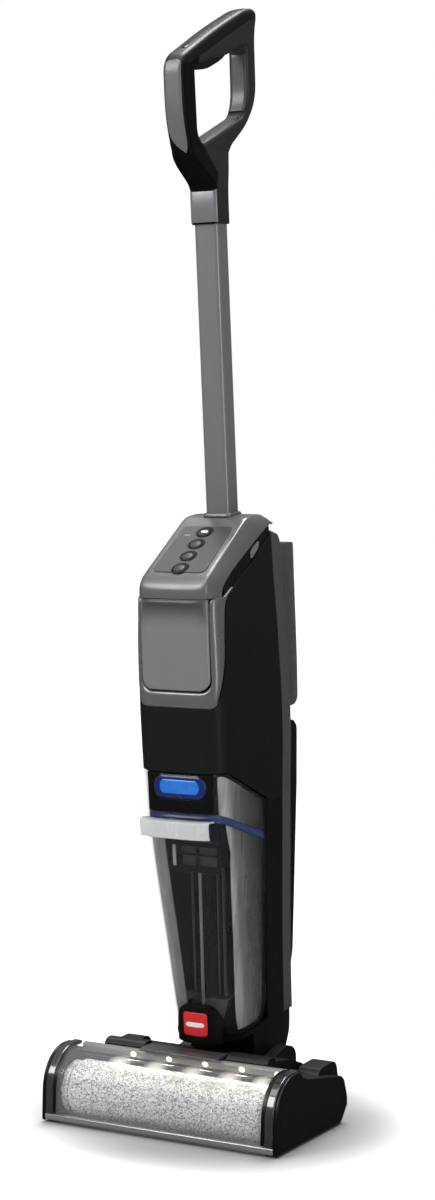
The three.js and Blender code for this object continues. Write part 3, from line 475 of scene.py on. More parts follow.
def plate_mesh(name, outlines, half_thick, radius, resolution=4):
    """A flat plate with rounded rims: the first outline is its rim, any others are holes in it."""
    verts, faces, loops = [], [], []
    profile = [(radius * (1 - cos(a)), half_thick - radius * (1 - sin(a)))
               for a in np.linspace(0, pi / 2, resolution + 2)]
    profile.append((radius + 0.15, half_thick))
    profile = [(i, -z) for i, z in reversed(profile)] + profile
    for index, outline in enumerate(outlines):
        outline = without_doubles(outline)
        if (turning(outline) > 0) == (index > 0):
            outline = outline[::-1]
        count, base = len(outline), len(verts)
        for inset, z in profile:
            verts += [(a, b, z) for a, b in inset_outline(outline, inset)]
        for r in range(len(profile) - 1):
            for c in range(count):
                a, b = base + r * count + c, base + r * count + (c + 1) % count
                faces.append((a, b, b + count, a + count))
        loops.append((base, base + (len(profile) - 1) * count, count))
    for end in (0, 1):
        rings = [[Vector(verts[loop[end] + k]) for k in range(loop[2])] for loop in loops]
        index_of = [loop[end] + k for loop in loops for k in range(loop[2])]
        faces += [tuple(index_of[i] for i in tri) for tri in tessellate_polygon(rings)]
    return new_mesh(name, verts, faces, 0.001)


# A plate drawn in (v, w) or (y, z) with its thickness along x.
SIDEWAYS = Matrix(((0, 0, 1, 0), (1, 0, 0, 0), (0, 1, 0, 0), (0, 0, 0, 1)))
# A plate drawn in (x, w) with its thickness along v.
FACING = Matrix(((1, 0, 0, 0), (0, 0, -1, 0), (0, 1, 0, 0), (0, 0, 0, 1)))


def side_plate(name, outlines, x0, x1, radius, space, material, body, nodes=(), sharp=35, resolution=4):
    mesh = plate_mesh(name, outlines, (x1 - x0) / 2, radius, resolution)
    matrix = space @ Matrix.Translation(((x0 + x1) / 2, 0, 0)) @ SIDEWAYS
    return place(name, mesh, matrix, material, body, nodes, sharp)


def turned(name, profile, space, material, body, slot, nodes=(), steps=48, sharp=35):
    """A solid of revolution about Z from (radius, height) points."""
    rows = []
    for k in range(steps):
        a = 2 * pi * k / steps
        rows.append([(r * cos(a), r * sin(a), h) for r, h in profile])
    rows.append(rows[0])
    mesh = sheet_mesh(name, rows, merge=0.005)
    return place(name, mesh, space, material, body, nodes, sharp)


# ------------------------------------------------------------------ the body's envelope
STATIONS = np.array([(40, 40.5, -66), (82, 41, -74.5), (151, 42.8, -84.5), (227, 46.2, -94.5),
                     (264, 47.4, -99), (300, 48.8, -100), (345, 51.3, -98.5), (400, 51.8, -98.5),
                     (470, 49.8, -98), (520, 47.3, -97), (600, 45, -95)], float)
NOSE_DEPTH = 45.0
NOSE_POWER = 4.5
REAR_V = 38.7
UPPER_INSIDE = (0, -20, 480)           # a point inside the body, behind the battery door
_HEIGHTS = np.arange(0, 660.0)


def blurred(values, reach, sigma, **edges):
    """Values one millimetre apart, eased over a few millimetres."""
    kernel = np.exp(-0.5 * (np.arange(-reach, reach + 1) / sigma) ** 2)
    return np.convolve(np.pad(values, reach, **edges), kernel / kernel.sum(), "valid")


def _eased(column):
    """The station values with their kinks eased."""
    values = np.interp(_HEIGHTS, STATIONS[:, 0], STATIONS[:, column])
    return blurred(values, 30, 9.0, mode="reflect", reflect_type="odd")


_HALVES = _eased(1)
_FRONTS = _eased(2)
_ANGLES = np.linspace(pi / 2, 0, 1200)
_COS = np.abs(np.cos(_ANGLES)) ** (2 / NOSE_POWER)
_SIN = np.abs(np.sin(_ANGLES)) ** (2 / NOSE_POWER)


@lru_cache(maxsize=None)
def plan(w, inset, rear):
    half = np.interp(w, _HEIGHTS, _HALVES) - inset
    front = np.interp(w, _HEIGHTS, _FRONTS)
    xs = np.append(half * _COS, half)
    vs = np.append(front + NOSE_DEPTH - (NOSE_DEPTH - inset) * _SIN, rear)
    arc = np.concatenate([[0], np.cumsum(np.hypot(np.diff(xs), np.diff(vs)))])
    return xs, vs, arc


def surf(a, w, off=0.0, inset=0.0, rear=REAR_V):
    """The point on the envelope at arc length a from the centre line, moved outwards by off."""
    xs, vs, arc = plan(round(float(w), 2), inset, rear)
    s = abs(a)
    x, v = np.interp(s, arc, xs), np.interp(s, arc, vs)
    if off:
        x0, v0 = np.interp(s - 1.5, arc, xs), np.interp(s - 1.5, arc, vs)
        x1, v1 = np.interp(s + 1.5, arc, xs), np.interp(s + 1.5, arc, vs)
        if s < 1.5:
            x0, v0 = -x1, v1
        length = hypot(x1 - x0, v1 - v0) or 1
        x += off * (v1 - v0) / length
        v -= off * (x1 - x0) / length
    return (x if a >= 0 else -x, v, w)


def arc_v(v, w, inset=0.0, rear=REAR_V):
    _, vs, arc = plan(round(float(w), 2), inset, rear)
    return float(np.interp(v, vs, arc))


def arc_x(x, w, inset=0.0, rear=REAR_V):
    xs, _, arc = plan(round(float(w), 2), inset, rear)
    return float(np.interp(x, xs[:-1], arc[:-1]))


def v_at(a, w, inset=0.0, rear=REAR_V):
    return surf(a, w, 0, inset, rear)[1]


# The cover's lower edge: its height in front, its slope, its lowest height and where the slope starts.
COVER_FRONT_W, COVER_SLOPE, COVER_REAR_W, COVER_BEND_V = 336.0, 0.513, 285.0, -86.0
# The seam round the trim band's foot: its corner, the corner's radius, and the cover's top.
SEAM_V, SEAM_W, SEAM_ROUND, SEAM_TOP = -90.3, 402.0, 9.0, 565.6


def cover_edge(v, drop=0.0):
    return max(COVER_FRONT_W - max(0.0, v - COVER_BEND_V) * COVER_SLOPE, COVER_REAR_W) - drop


RIM_V, RIM_W, RIM_SLOPE = -92, 288, 0.413    # the cup's rim: its front edge and its fall backwards


def rim(v, rise=0.0):
    return RIM_W - (v - RIM_V) * RIM_SLOPE + rise


# The cover's upper edge along the sides, eased at its bends: v of the edge at each height.
SEAM_LINE = [(380, -95), (404, -92.6), (413, -90), (426, -85.5), (445, -80.3), (486, -75.4),
             (500, -72.6), (511, -69.2), (518, -60), (543.7, 1.6), (552.5, 13.7), (565, 38), (590, 90)]
_SEAM_TABLE_W = np.arange(380, 620.0)
_SEAM_RAW = np.interp(_SEAM_TABLE_W, [w for w, v in SEAM_LINE], [v for w, v in SEAM_LINE])
_SEAM_SMOOTH = blurred(_SEAM_RAW, 15, 2.5, mode="edge")


def seam_v(w):
    return float(np.interp(w, _SEAM_TABLE_W, _SEAM_SMOOTH))


def seam_w(v):
    return np.interp(v, _SEAM_SMOOTH, _SEAM_TABLE_W)


def column(low, high, count):
    return [low + (high - low) * k / count for k in range(count + 1)]


def build_cover():
    side_cols, front_cols, rows_low, rows_high = 26, 44, 26, 34
    fractions = [k / side_cols for k in range(side_cols + 1)]
    low_rows = []
    start_w = SEAM_W + SEAM_ROUND
    for r in range(rows_low + 1):
        t = r / rows_low
        left = []
        for f in fractions:
            v = REAR_V + (SEAM_V - REAR_V) * f
            w = cover_edge(v) + (start_w - cover_edge(v)) * t
            left.append(surf(-arc_v(v, w), w))
        middle = []
        for k in range(1, front_cols):
            q = -1 + 2 * k / front_cols
            reach = arc_v(SEAM_V, SEAM_W)
            gap = reach * (1 - abs(q))
            top = SEAM_W
            if gap < SEAM_ROUND:
                top = SEAM_W + SEAM_ROUND - sqrt(SEAM_ROUND ** 2 - (SEAM_ROUND - gap) ** 2)
            low = cover_edge(v_at(q * arc_v(SEAM_V, COVER_FRONT_W), COVER_FRONT_W))
            w = low + (top - low) * t
            middle.append(surf(q * arc_v(SEAM_V, w), w))
        right = [(-x, v, w) for x, v, w in reversed(left)]
        low_rows.append(left + middle + right)
    verts, faces = [], []

    def add(rows):
        base, count = len(verts), len(rows[0])
        verts.extend(p for row in rows for p in row)
        for r in range(len(rows) - 1):
            for c in range(count - 1):
                a = base + r * count + c
                faces.append((a, a + 1, a + 1 + count, a + count))

    add(low_rows)
    for side in (-1, 1):
        panel = []
        for r in range(rows_high + 1):
            w = start_w + (SEAM_TOP - start_w) * (r / rows_high) ** 0.92
            edge = min(seam_v(w), REAR_V - 0.01)
            panel.append([(side * surf(arc_v(REAR_V + (edge - REAR_V) * f, w), w)[0],
                           REAR_V + (edge - REAR_V) * f, w) for f in fractions])
        add(panel)
    mesh = new_mesh("body_cover_fine", verts, faces, 0.05, (0, -20, 440))
    made = place("body_cover_fine", mesh, BODY, COVER, "body", ("body_cover",), 30)
    thicken(made, 3.0, 0.9)


def evenly(points, count):
    """The polyline resampled at even steps along it."""
    pts = np.array(points, float)
    length = np.concatenate([[0], np.cumsum(np.linalg.norm(np.diff(pts, axis=0), axis=1))])
    even = np.linspace(0, length[-1], count)
    return np.stack([np.interp(even, length, pts[:, k]) for k in range(pts.shape[1])], 1)


def eased_path(points, count):
    """Catmull-Rom through the points, resampled evenly along them."""
    pts = np.array(points, float)
    pts = np.vstack([2 * pts[0] - pts[1], pts, 2 * pts[-1] - pts[-2]])
    out = []
    for i in range(1, len(pts) - 2):
        p0, p1, p2, p3 = pts[i - 1:i + 3]
        for t in np.linspace(0, 1, 12, endpoint=False):
            out.append(0.5 * (2 * p1 + (p2 - p0) * t + (2 * p0 - 5 * p1 + 4 * p2 - p3) * t * t
                              + (3 * p1 - p0 - 3 * p2 + p3) * t ** 3))
    out.append(pts[-2])
    return evenly(out, count)


def build_bezel():
    """The gunmetal band round the door: each section runs from the cover's seam to the door's edge."""
    def side(w, back=0.0):
        return arc_v(seam_v(w) - 0.5 - back, w), w

    def facing(x, w):
        return arc_x(x, w), w

    door_low, door_round = DOOR_LOW - 0.6, DOOR_ROUND
    lip = SEAM_W + 0.4
    pairs = [(side(519.5, -3), side(521.5, 3.5)), (side(515.5), side(519.0, 5)),
             (side(510), side(514.5, 8.5)), (side(502), (arc_x(DOOR_EDGE + 1.8, 512), 513.2)),
             (side(490), facing(DOOR_EDGE - 0.9, 499)), (side(472), facing(DOOR_EDGE - 0.9, 478)),
             (side(452), facing(DOOR_EDGE - 0.7, 456)), (side(432), facing(DOOR_EDGE - 0.1, 438))]
    seam_reach, door_reach = arc_v(SEAM_V - 0.4, 411), arc_x(DOOR_EDGE + 0.6, 425)
    for k in range(8):
        t = k / 7 * pi / 2
        outer = (seam_reach - SEAM_ROUND * (1 - cos(t)), lip + SEAM_ROUND * (1 - sin(t)))
        inner = (door_reach - door_round * (1 - cos(t)), door_low + door_round * (1 - sin(t)))
        pairs.append((outer, inner))
    pairs += [(facing(x, lip), facing(inner_x, door_low)) for x, inner_x in ((22, 20), (11, 10), (0.0, 0.0))]
    path = eased_path([(*o, *i) for o, i in pairs], 120)
    path = np.vstack([path, [(-o, p, -i, q) for o, p, i, q in path[-2::-1]]])
    profile = [(0.0, -2.8), (0.0, -1.0), (0.04, -0.2), (0.12, 0.4), (0.25, 0.8), (0.45, 1.0), (0.65, 1.0),
               (0.80, 0.8), (0.88, 0.3), (0.93, -0.8), (0.96, -2.5), (0.97, -4.4)]
    rows = []
    for oa, ow, ia, iw in path:
        wide = min(1.0, hypot(ia - oa, iw - ow) / 8)
        rows.append([surf(oa + (ia - oa) * s, ow + (iw - ow) * s, off * (0.35 + 0.65 * wide) - 0.25)
                     for s, off in profile])
    shell("trim_bezel_fine", rows, UPPER_INSIDE,
          BODY, GUNMETAL, "body", ("trim_bezel",), 60, 0.8, even=False)


def build_slots():
    """The glossy black channel between the control housing and the cover, with a grey patch near its top, a
    painted highlight.
    """
    for side, name in ((-1, "left"), (1, "right")):
        rows = []
        for v in np.linspace(-70.5, 37.5, 60):
            high = foot_w(v) + 0.6
            low = seam_w(v) - 0.8
            row = []
            for t, depth in ((0, -3.4), (0.02, -2.2), (0.2, -1.5), (0.5, -1.2), (0.8, -1.5),
                             (0.98, -2.2), (1, -3.4)):
                w = low + (high - low) * t
                x = surf(arc_v(v, w), w)[0]
                row.append((side * (x + depth), v, w))
            rows.append(row)
        shell("side_slot_" + name, rows, UPPER_INSIDE, BODY, BLACK, "body", (), 50, 0.8)
        # A grey patch near the channel's top: a painted highlight.
        rows = []
        for v in np.linspace(-9, 11, 16):
            under = seam_w(v)
            gap = foot_w(v) - under
            low, high = under + 0.22 * gap, under + 0.74 * gap
            round_off = 1.8 * (abs(v - 1) / 10) ** 6
            row = []
            for t in np.linspace(0, 1, 9):
                w = low + round_off + (high - low - 2 * round_off) * t
                x = surf(arc_v(v, w), w)[0]
                row.append((side * (x - 0.9 + 0.5 * sin(pi * t)), v, w))
            rows.append(row)
        shell("slot_highlight_" + name, rows, UPPER_INSIDE, BODY, SLOT_HIGHLIGHT_GREY, "body", (), 50, 0.6)


DOOR_LOW, DOOR_TOP, DOOR_EDGE, DOOR_ROUND = 420.4, 512.9, 39.2, 13.0


def ease(t):
    t = min(max(t, 0.0), 1.0)
    return t * t * (3 - 2 * t)


def corner_cut(dist, radius):
    """How far a round corner stands in from its square edge, at dist from the end."""
    return radius - sqrt(max(0.0, radius ** 2 - (radius - min(dist, radius)) ** 2))


def rim_fall(gap, reach):
    """How far a crowned face has fallen, from 0 inside to 1 at its rim."""
    return 1 - sqrt(max(0.0, 1 - (1 - min(gap / reach, 1)) ** 2))


def build_door():
    """Battery door: a crowned panel with round lower corners and a dished finger scoop near its top."""
    rows = []
    heights = ([DOOR_LOW + 6 * (k / 10) ** 1.6 for k in range(11)] + column(427, 484, 26)
               + column(485.5, 504, 22) + column(504.6, DOOR_TOP, 16))
    for w in heights:
        edge = DOOR_EDGE - corner_cut(w - DOOR_LOW, DOOR_ROUND)
        row = []
        for k in range(65):
            q = sin(pi / 2 * (-1 + 2 * k / 64))
            x = edge * q
            rim_gap = min(edge - abs(x), w - DOOR_LOW)
            off = 1.1 - 2.2 * rim_fall(rim_gap, 3.6)
            scoop = ease((w - 480) / 24) * (1 - ease((w - 505.2) / 5.0)) * (1 - ease((abs(x) - 27) / 8.5))
            off -= 2.6 * scoop
            off -= 1.2 * ease((w - 508) / 5)
            reach = arc_x(abs(x), w)
            row.append(surf(reach if x >= 0 else -reach, w, off))
        rows.append(row)
    shell("battery_door_fine", rows, (0, -20, 465),
          BODY, DOOR, "battery", ("battery_door",), 60, 1.6, even=False)


# Centre line and lower side end of each cross-section of the control housing, from front to back.
HOUSING_ROWS = [((-97.3, 513.6), (-77.5, 513.6)), ((-97.9, 517.0), (-77.0, 517.0)),
                ((-97.7, 522.0), (-75.5, 521.5)), ((-95.6, 527.6), (-72.0, 526.0)),
                ((-91.2, 532.8), (-66.5, 530.0)), ((-83.5, 537.6), (-58.5, 534.6)),
                ((-70.0, 545.0), (-47.0, 540.6)), ((-45.0, 558.6), (-26.0, 549.5)),
                ((-20.0, 572.2), (-5.0, 558.5)), ((-6.0, 579.8), (7.0, 563.8)),
                ((2.0, 584.2), (16.0, 567.4)), ((11.0, 586.0), (24.0, 570.2)),
                ((34.0, 586.0), (36.0, 574.4)), ((42.5, 584.0), (42.0, 575.6)),
                ((45.2, 577.0), (45.2, 575.6))]


def foot_w(v):
    """Height of the housing's lower side edge."""
    feet = [foot for _, foot in HOUSING_ROWS]
    return float(np.interp(v, [foot[0] for foot in feet], [foot[1] for foot in feet]))


KEYS = (("solution_button", 4), ("mode_button", 25), ("clean_button", 46), ("power_button", 67))
KEY_HOLE_R = 8.4


def circle(radius, steps=48):
    return [(radius * cos(2 * pi * k / steps), radius * sin(2 * pi * k / steps)) for k in range(steps)]


def build_housing():
    rows = []
    for i, ((cv, cw), (sv, sw)) in enumerate(HOUSING_ROWS):
        along = i / (len(HOUSING_ROWS) - 1)
        edge = 37.8 - 3.0 * along
        nose = max(0.0, 1 - i / 5) ** 1.2
        seam_x = surf(arc_v(sv, sw), sw)[0] - 0.2
        half = []
        for x, sag in ((0, 0), (edge * 0.3, 0.01), (edge * 0.62, 0.12), (edge - 5.0, 0.42),
                       (edge - 0.9, 0.8)):
            half.append(np.array((x, cv + nose * 4.4 * sag, cw)))
        ridge = np.array((edge + 0.6, cv + nose * 5.6, cw - 0.9 * (1 - nose)))
        foot = np.array((seam_x, sv, sw))
        half.append(ridge)
        for t in (0.16, 0.5, 0.86, 1.0):
            point = ridge + (foot - ridge) * t
            swell = 1.6 * sin(pi * t)
            half.append(point + np.array((swell * 0.8, -swell * nose, swell * 0.45)))
        left = [np.array((-p[0], p[1], p[2])) for p in reversed(half[1:])]
        rows.append(left + half)
    mesh = sheet_mesh("control_housing_fine", rows, outward_from=UPPER_INSIDE)
    made = place("control_housing_fine", mesh, BODY, GREY, "body", ("control_housing",), 180)
    subdivide(made, 3)
    thicken(made, 2.2, even=False)
    for _, y in KEYS:
        hole = prism("hole", [(p, q + y) for p, q in circle(KEY_HOLE_R)], -6, 6)
        boolean(made, hole, PANEL, "DIFFERENCE")
    finish_mesh(made.data, 60)
    # A soft raised seat where the wand enters.
    rows = []
    for grow, w in ((2.6, 585.2), (2.6, 587.0), (1.6, 588.6), (0.5, 588.9), (0.35, 586.0), (0.35, 560.0)):
        rows.append([(x, y, w) for x, y in tube_outline(grow, 8)])
    mesh = sheet_mesh("wand_seat", rows, closed=True, outward_from=(0, 19.6, 570))
    place("wand_seat", mesh, BODY, GREY, "body", (), 50)


TUBE_X, TUBE_D, TUBE_V = 14.0, 12.5, 19.6


def tube_outline(grow, steps=8):
    x, d = TUBE_X + grow, TUBE_D + grow
    front, back = TUBE_V - d, TUBE_V + d
    return corner_points([(-x, front, 6), (x, front, 6), (x, back, 6), (-x, back, 6)], steps)


def build_wand():
    rows = []
    for grow, w in ((-2.0, 562.0), (0.0, 562.0), (0.0, 640.0), (0.0, 720.0), (0.0, 800.0), (0.0, 905.8),
                    (-2.0, 905.8)):
        rows.append([(x, y, w) for x, y in tube_outline(grow)])
    mesh = sheet_mesh("wand_tube_fine", rows, closed=True, outward_from=(0, 19.6, 730))
    place("wand_tube_fine", mesh, BODY, WAND, "body", ("wand_tube",), 50)


# ------------------------------------------------------------------ handle
LOOP = [(14, 900, 9), (7.5, 921, 4), (-6, 931, 7), (-38, 950, 14), (-50, 990, 20), (-50, 1048, 16),
        (30, 1083, 34), (95, 1107, 12), (125, 1111, 17), (115, 1082, 13), (114, 1014, 20), (88, 986, 14),
        (47, 961, 14), (35, 930, 7), (33, 900, 9)]
LOOP_HOLE = [(-21, 1041, 8), (-20, 974, 7), (-10, 965, 5), (86, 998, 11), (94, 1018, 8), (95, 1070, 8),
             (40, 1053, 12)]
LOOP_HALF, LOOP_ROUND = 12.0, 5.5
# The black front half of the frame: the front upright and the slope that faces down and forwards.
FRONT_PART = [(-90, 880), (5.2, 880), (5.2, 917), (11, 936), (-14, 968), (-14, 1075), (-90, 1075)]
# Half width and front and back edges of the collar and the neck above it, at each height.
NECK = [(885.2, 15.4, 5.2, 33.4), (886.0, 16.0, 4.6, 34.0), (900.0, 16.0, 4.6, 34.0),
        (919.0, 16.0, 4.6, 34.4), (924.0, 16.0, 2.0, 35.0), (929.0, 15.8, -3.4, 35.9),
        (936.0, 15.3, -14.6, 38.0), (944.0, 14.3, -27.0, 40.8), (951.0, 13.2, -35.4, 43.2),
        (957.0, 12.4, -38.8, 45.4), (962.0, 11.4, -40.0, 46.8)]
GRIP_CUT = [(-70, 1042), (-34, 1042, 3), (-24, 1047, 4), (34, 1070), (100, 1096), (140, 1104), (140, 1160),
            (-70, 1160)]


def boolean(made, cutter_mesh, space, operation):
    cutter_mesh.transform(space)
    cutter = bpy.data.objects.new("cutter", cutter_mesh)
    bpy.context.scene.collection.objects.link(cutter)
    cut = made.modifiers.new("cut", "BOOLEAN")
    cut.operation = operation
    cut.solver = "EXACT"
    cut.object = cutter
    mesh = bpy.data.meshes.new_from_object(made.evaluated_get(bpy.context.evaluated_depsgraph_get()))
    made.modifiers.clear()
    made.data = mesh
    bpy.data.objects.remove(cutter)
    return made


def prism(name, points, low, high):
    """A straight prism of an outline, between two heights along Z."""
    count = len(points)
    verts = [(a, b, low) for a, b in points] + [(a, b, high) for a, b in points]
    faces = [(i, (i + 1) % count, (i + 1) % count + count, i + count) for i in range(count)]
    faces += [tuple(reversed(range(count))), tuple(range(count, 2 * count))]
    return new_mesh(name, verts, faces)


def neck_outline(half, front, back, radius=5.5):
    return corner_points([(-half, front, radius), (half, front, radius), (half, back, radius),
                          (-half, back, radius)], 8)


def edge_depth(x):
    """How far the loop's rounded rim has fallen away at x from its middle."""
    over = max(0.0, abs(x) - (LOOP_HALF - LOOP_ROUND))
    return LOOP_ROUND - sqrt(max(0.0, LOOP_ROUND ** 2 - over ** 2))


def rim_strip(name, spine, edges, lift, material, outward, nodes=()):
    """A thin inlay that follows the loop's rounded rim along a (v, w) line."""
    rows = []
    for i, (v, w) in enumerate(spine):
        low, high = edges(i / (len(spine) - 1))
        ahead = spine[min(i + 1, len(spine) - 1)] - spine[max(i - 1, 0)]
        normal = np.array((ahead[1], -ahead[0])) / np.linalg.norm(ahead)
        row = []
        for k in range(17):
            q = k / 16
            x = low + (high - low) * q
            rise = lift * min(1.0, 8 * min(q, 1 - q) + 0.05, 0.3 + 0.35 * i)
            off = rise - edge_depth(x)
            row.append((x, v + normal[0] * off, w + normal[1] * off))
        rows.append(row)
    return shell(name, rows, outward, BODY, material, "body", nodes, 50, 1.2)


def build_handle():
    loop, hole = corner_points(LOOP, 12), corner_points(LOOP_HOLE, 10)
    cut = prism("cut", corner_points(GRIP_CUT), -30, 30)
    grip = side_plate("handle_grip_fine", [loop, hole], -LOOP_HALF, LOOP_HALF, 6.0, BODY, SOFT,
                      "body", ("handle_grip",), 40, 6)
    boolean(grip, cut.copy(), BODY @ SIDEWAYS, "INTERSECT")
    body = side_plate("handle_frame_fine", [loop, hole], -LOOP_HALF, LOOP_HALF, LOOP_ROUND, BODY,
                      HANDLE, "body", ("handle_frame",), 40, 6)
    neck = sheet_mesh("neck", [[(x, v, w) for x, v in neck_outline(half, front, back)]
                               for w, half, front, back in eased_neck()],
                      closed=True, cap_first=True, cap_last=True, outward_from=(0, 10, 920))
    boolean(body, neck, BODY, "UNION")
    lowered = Matrix.Translation((0, -0.35, 0))
    boolean(body, cut, BODY @ SIDEWAYS @ lowered, "DIFFERENCE")
    pocket = prism("pocket", [(-22, 1016), (-22, 1047.5), (54, 1072), (54, 1045)], -9.9, 9.9)
    boolean(body, pocket, BODY @ SIDEWAYS, "DIFFERENCE")
    front = bpy.data.objects.new("handle_front", body.data.copy())
    bpy.context.scene.collection.objects.link(front)
    front.data.materials.clear()
    front.data.materials.append(INK)
    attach(front, "body")
    part = prism("part", FRONT_PART, -30, 30)
    boolean(front, part.copy(), BODY @ SIDEWAYS, "INTERSECT")
    boolean(body, part, BODY @ SIDEWAYS, "DIFFERENCE")
    for piece in (grip, body, front):
        finish_mesh(piece.data, 40)
        if piece is grip:
            soften_edges(piece, 0.5, 2, 50)
    # Grey band round the front of the collar.
    rim_points = [(x, v) for x, v in neck_outline(16.35, 4.25, 34) if v < 6.4]
    rim_points.sort(key=lambda point: atan2(point[0], 19 - point[1]))
    rows = [[(x * (1 - 0.004 * tuck), v + 0.35 * tuck, w) for x, v in rim_points]
            for w, tuck in ((887.2, 1), (888.0, 0), (904, 0), (919.6, 0), (920.4, 1))]
    shell("collar_insert_fine", rows, (0, 19, 904),
          BODY, WAND, "body", ("collar_insert",), 40, 0.6)
    # Grey inlays: down the front of the loop, and down the inner face of its rear upright.
    outer = [point for point in loop if point[0] < -34 and 955 < point[1] < 1046]
    spine = evenly(outer[::-1], 70)

    def narrowing(t):
        tip = max(0.0, (t - 0.70) / 0.30)
        head = sqrt(1 - (1 - min(t / 0.05, 1)) ** 2) if t > 0 else 0.0
        half = 5.0 + 4.6 * head
        return -half + 15.0 * tip ** 2.4, half - 3.0 * tip ** 6

    rim_strip("front_strip", spine, narrowing, 0.3, STRIP, (0, -20, 1000), ("handle_front_insert",))
    spine = eased_path([(95, 1062), (94.6, 1045), (94.1, 1028), (93.0, 1018), (90.0, 1009),
                        (85.4, 1002.6)], 40)
    rim_strip("rear_strip", spine, lambda t: (-9.4, 9.4), 0.6, TAB, (0, 130, 1030))
    lever = corner_points([(-19, 1037.5, 2), (-19, 1042, 2), (44, 1061.5), (53, 1063, 2), (53, 1058, 2),
                           (40, 1050.5, 8), (8, 1039.5, 10)])
    side_plate("trigger_fine", [lever], -9, 9, 1.6, BODY, SATIN, "trigger", ("trigger",), 40)
    # Raised glossy rib along the top of the grip.
    top = [point for point in loop if point[0] < 116 and point[1] > 1049 + 0.36 * (point[0] + 50)]
    ridge = evenly(top, 60)[4:]
    rows = []
    for i, (v, w) in enumerate(ridge):
        ahead = ridge[min(i + 1, len(ridge) - 1)] - ridge[max(i - 1, 0)]
        normal = np.array((-ahead[1], ahead[0])) / np.linalg.norm(ahead)
        t = i / (len(ridge) - 1)
        half = 6.2 * sqrt(max(0.02, 1 - (2 * t - 1) ** 8))
        rows.append([(half * q, v + normal[0] * off, w + normal[1] * off) for q, off in
                     ((-1, -0.9), (-0.9, 0.15), (-0.5, 0.45), (0, 0.5), (0.5, 0.45), (0.9, 0.15), (1, -0.9))])
    shell("grip_top", rows, (0, 30, 1060), BODY, BLACK, "body", (), 50, 0.8)


def eased_neck():
    """The neck's cross-sections with their kinks eased, close enough together to read as one curve."""
    table = np.array(NECK)
    heights = np.concatenate([[885.2, 886.0, 900.0, 914.0], np.linspace(917, 962, 24)])
    smooth = []
    for w in heights:
        if w <= 914:
            smooth.append([w] + [float(np.interp(w, table[:, 0], table[:, k])) for k in (1, 2, 3)])
            continue
        near = np.linspace(max(w - 3.5, 886), min(w + 3.5, 962), 15)
        smooth.append([w] + [float(np.interp(near, table[:, 0], table[:, k]).mean()) for k in (1, 2, 3)])
    return smooth


# ------------------------------------------------------------------ control panel


def build_controls():
    inlay = corner_points([(-30.5, -2.5, 9), (30.5, -2.5, 9), (28.5, 78, 4), (-28.5, 78, 4)])
    holes = [[(p, q + y) for p, q in circle(KEY_HOLE_R)] for _, y in KEYS]
    place("panel_inlay", plate_mesh("panel_inlay", [inlay] + holes, 0.5, 0.3),
          PANEL @ Matrix.Translation((0, 0, 0.15)), INLAY, "body", (), 40)
    for name, y in KEYS:
        at = PANEL @ Matrix.Translation((0, y, 0.4))
        turned(name + "_fine", [(0, -1.2), (8.0, -1.2), (8.0, 0.4), (7.6, 0.85), (6.9, 0.95),
                                (5.6, 0.7), (0, 0.55)],
               at, INK, name, "soft", (name,), 56)
        turned(name + "_face", [(0, 0.6), (4.0, 0.62), (4.6, 0.72), (4.6, 0.9), (4.2, 1.0), (0, 1.05)],
               at, INLAY, name, "soft", (), 40)
        turned(name + "_ring", [(8.35, -1.2), (8.35, 0.4), (8.6, 0.6), (9.2, 0.6), (9.5, 0.3), (9.5, -0.6)],
               at, BLACK, "body", "grey", (), 56)
    lit = corner_points([(-3.4, -1.0, 0.9), (3.4, -1.0, 0.9), (3.4, 1.0, 0.9), (-3.4, 1.0, 0.9)])
    place("power_mark", plate_mesh("power_mark", [lit], 0.3, 0.15), PANEL @ Matrix.Translation((0, 67, 1.5)),
          KEYLIT, "power_button", (), 40)
    lamp = corner_points([(-21, 60, 1.1), (-14, 60, 1.1), (-14, 62.4, 1.1), (-21, 62.4, 1.1)])
    mesh = plate_mesh("status_lamp", [lamp], 0.3, 0.15)
    place("status_lamp", mesh, PANEL @ Matrix.Translation((0, 0, 0.6)), WAND, "body", (), 40)


# ------------------------------------------------------------------ recovery tank
def closed_row(w_of, inset, rear, columns=64, rear_columns=10, off=0.0):
    """One closed ring of the tank's plan; w_of gives the height at each v."""
    row = []
    w = w_of(-60)
    for k in range(columns + 1):
        q = -1 + 2 * k / columns
        for _ in range(3):
            full = arc_v(rear, w, inset, rear)
            w = w_of(v_at(q * full, w, inset, rear))
        row.append(surf(q * full, w, off, inset, rear))
    (x0, v0, w0), x1 = row[-1], row[0][0]
    for k in range(1, rear_columns):
        t = k / rear_columns
        row.append((x0 + (x1 - x0) * t, v0, w0))
    return row


TOE_V, TOE_W, TOE_ROUND = -29, 78, 26   # the round toe at the bottom of the cup's back
REAR_DRIFT, REAR_RISE = 1.8, 210        # how far the back moves over how much height


def rear_of(w):
    if w < TOE_W:
        return TOE_V + sqrt(max(0.0, TOE_ROUND ** 2 - (TOE_W - w) ** 2))
    return TOE_V + TOE_ROUND + REAR_DRIFT * (w - TOE_W) / REAR_RISE


GASKET_LOW, GASKET_HIGH = -2.6, 4.6     # the seal's edges, above the cup's rim line
GRIP_MIDDLE, GRIP_HALF = -1.8, 39.6     # the clear grip's place and half width


def tank_ring(name, low, high, inset, thick, material, nodes=(), steps=8, cap=False, rear=-1.4):
    """A closed band of the tank's plan between two heights that are functions of v."""
    rows = []
    for k in range(steps + 1):
        t = k / steps
        rows.append(closed_row(lambda v, t=t: low(v) + (high(v) - low(v)) * t, inset, rear))
    mesh = sheet_mesh(name, rows, closed=True, cap_last=cap, outward_from=(0, -45, 300))
    made = place(name, mesh, BODY, material, "recovery_tank", nodes, 40)
    return thicken(made, thick)


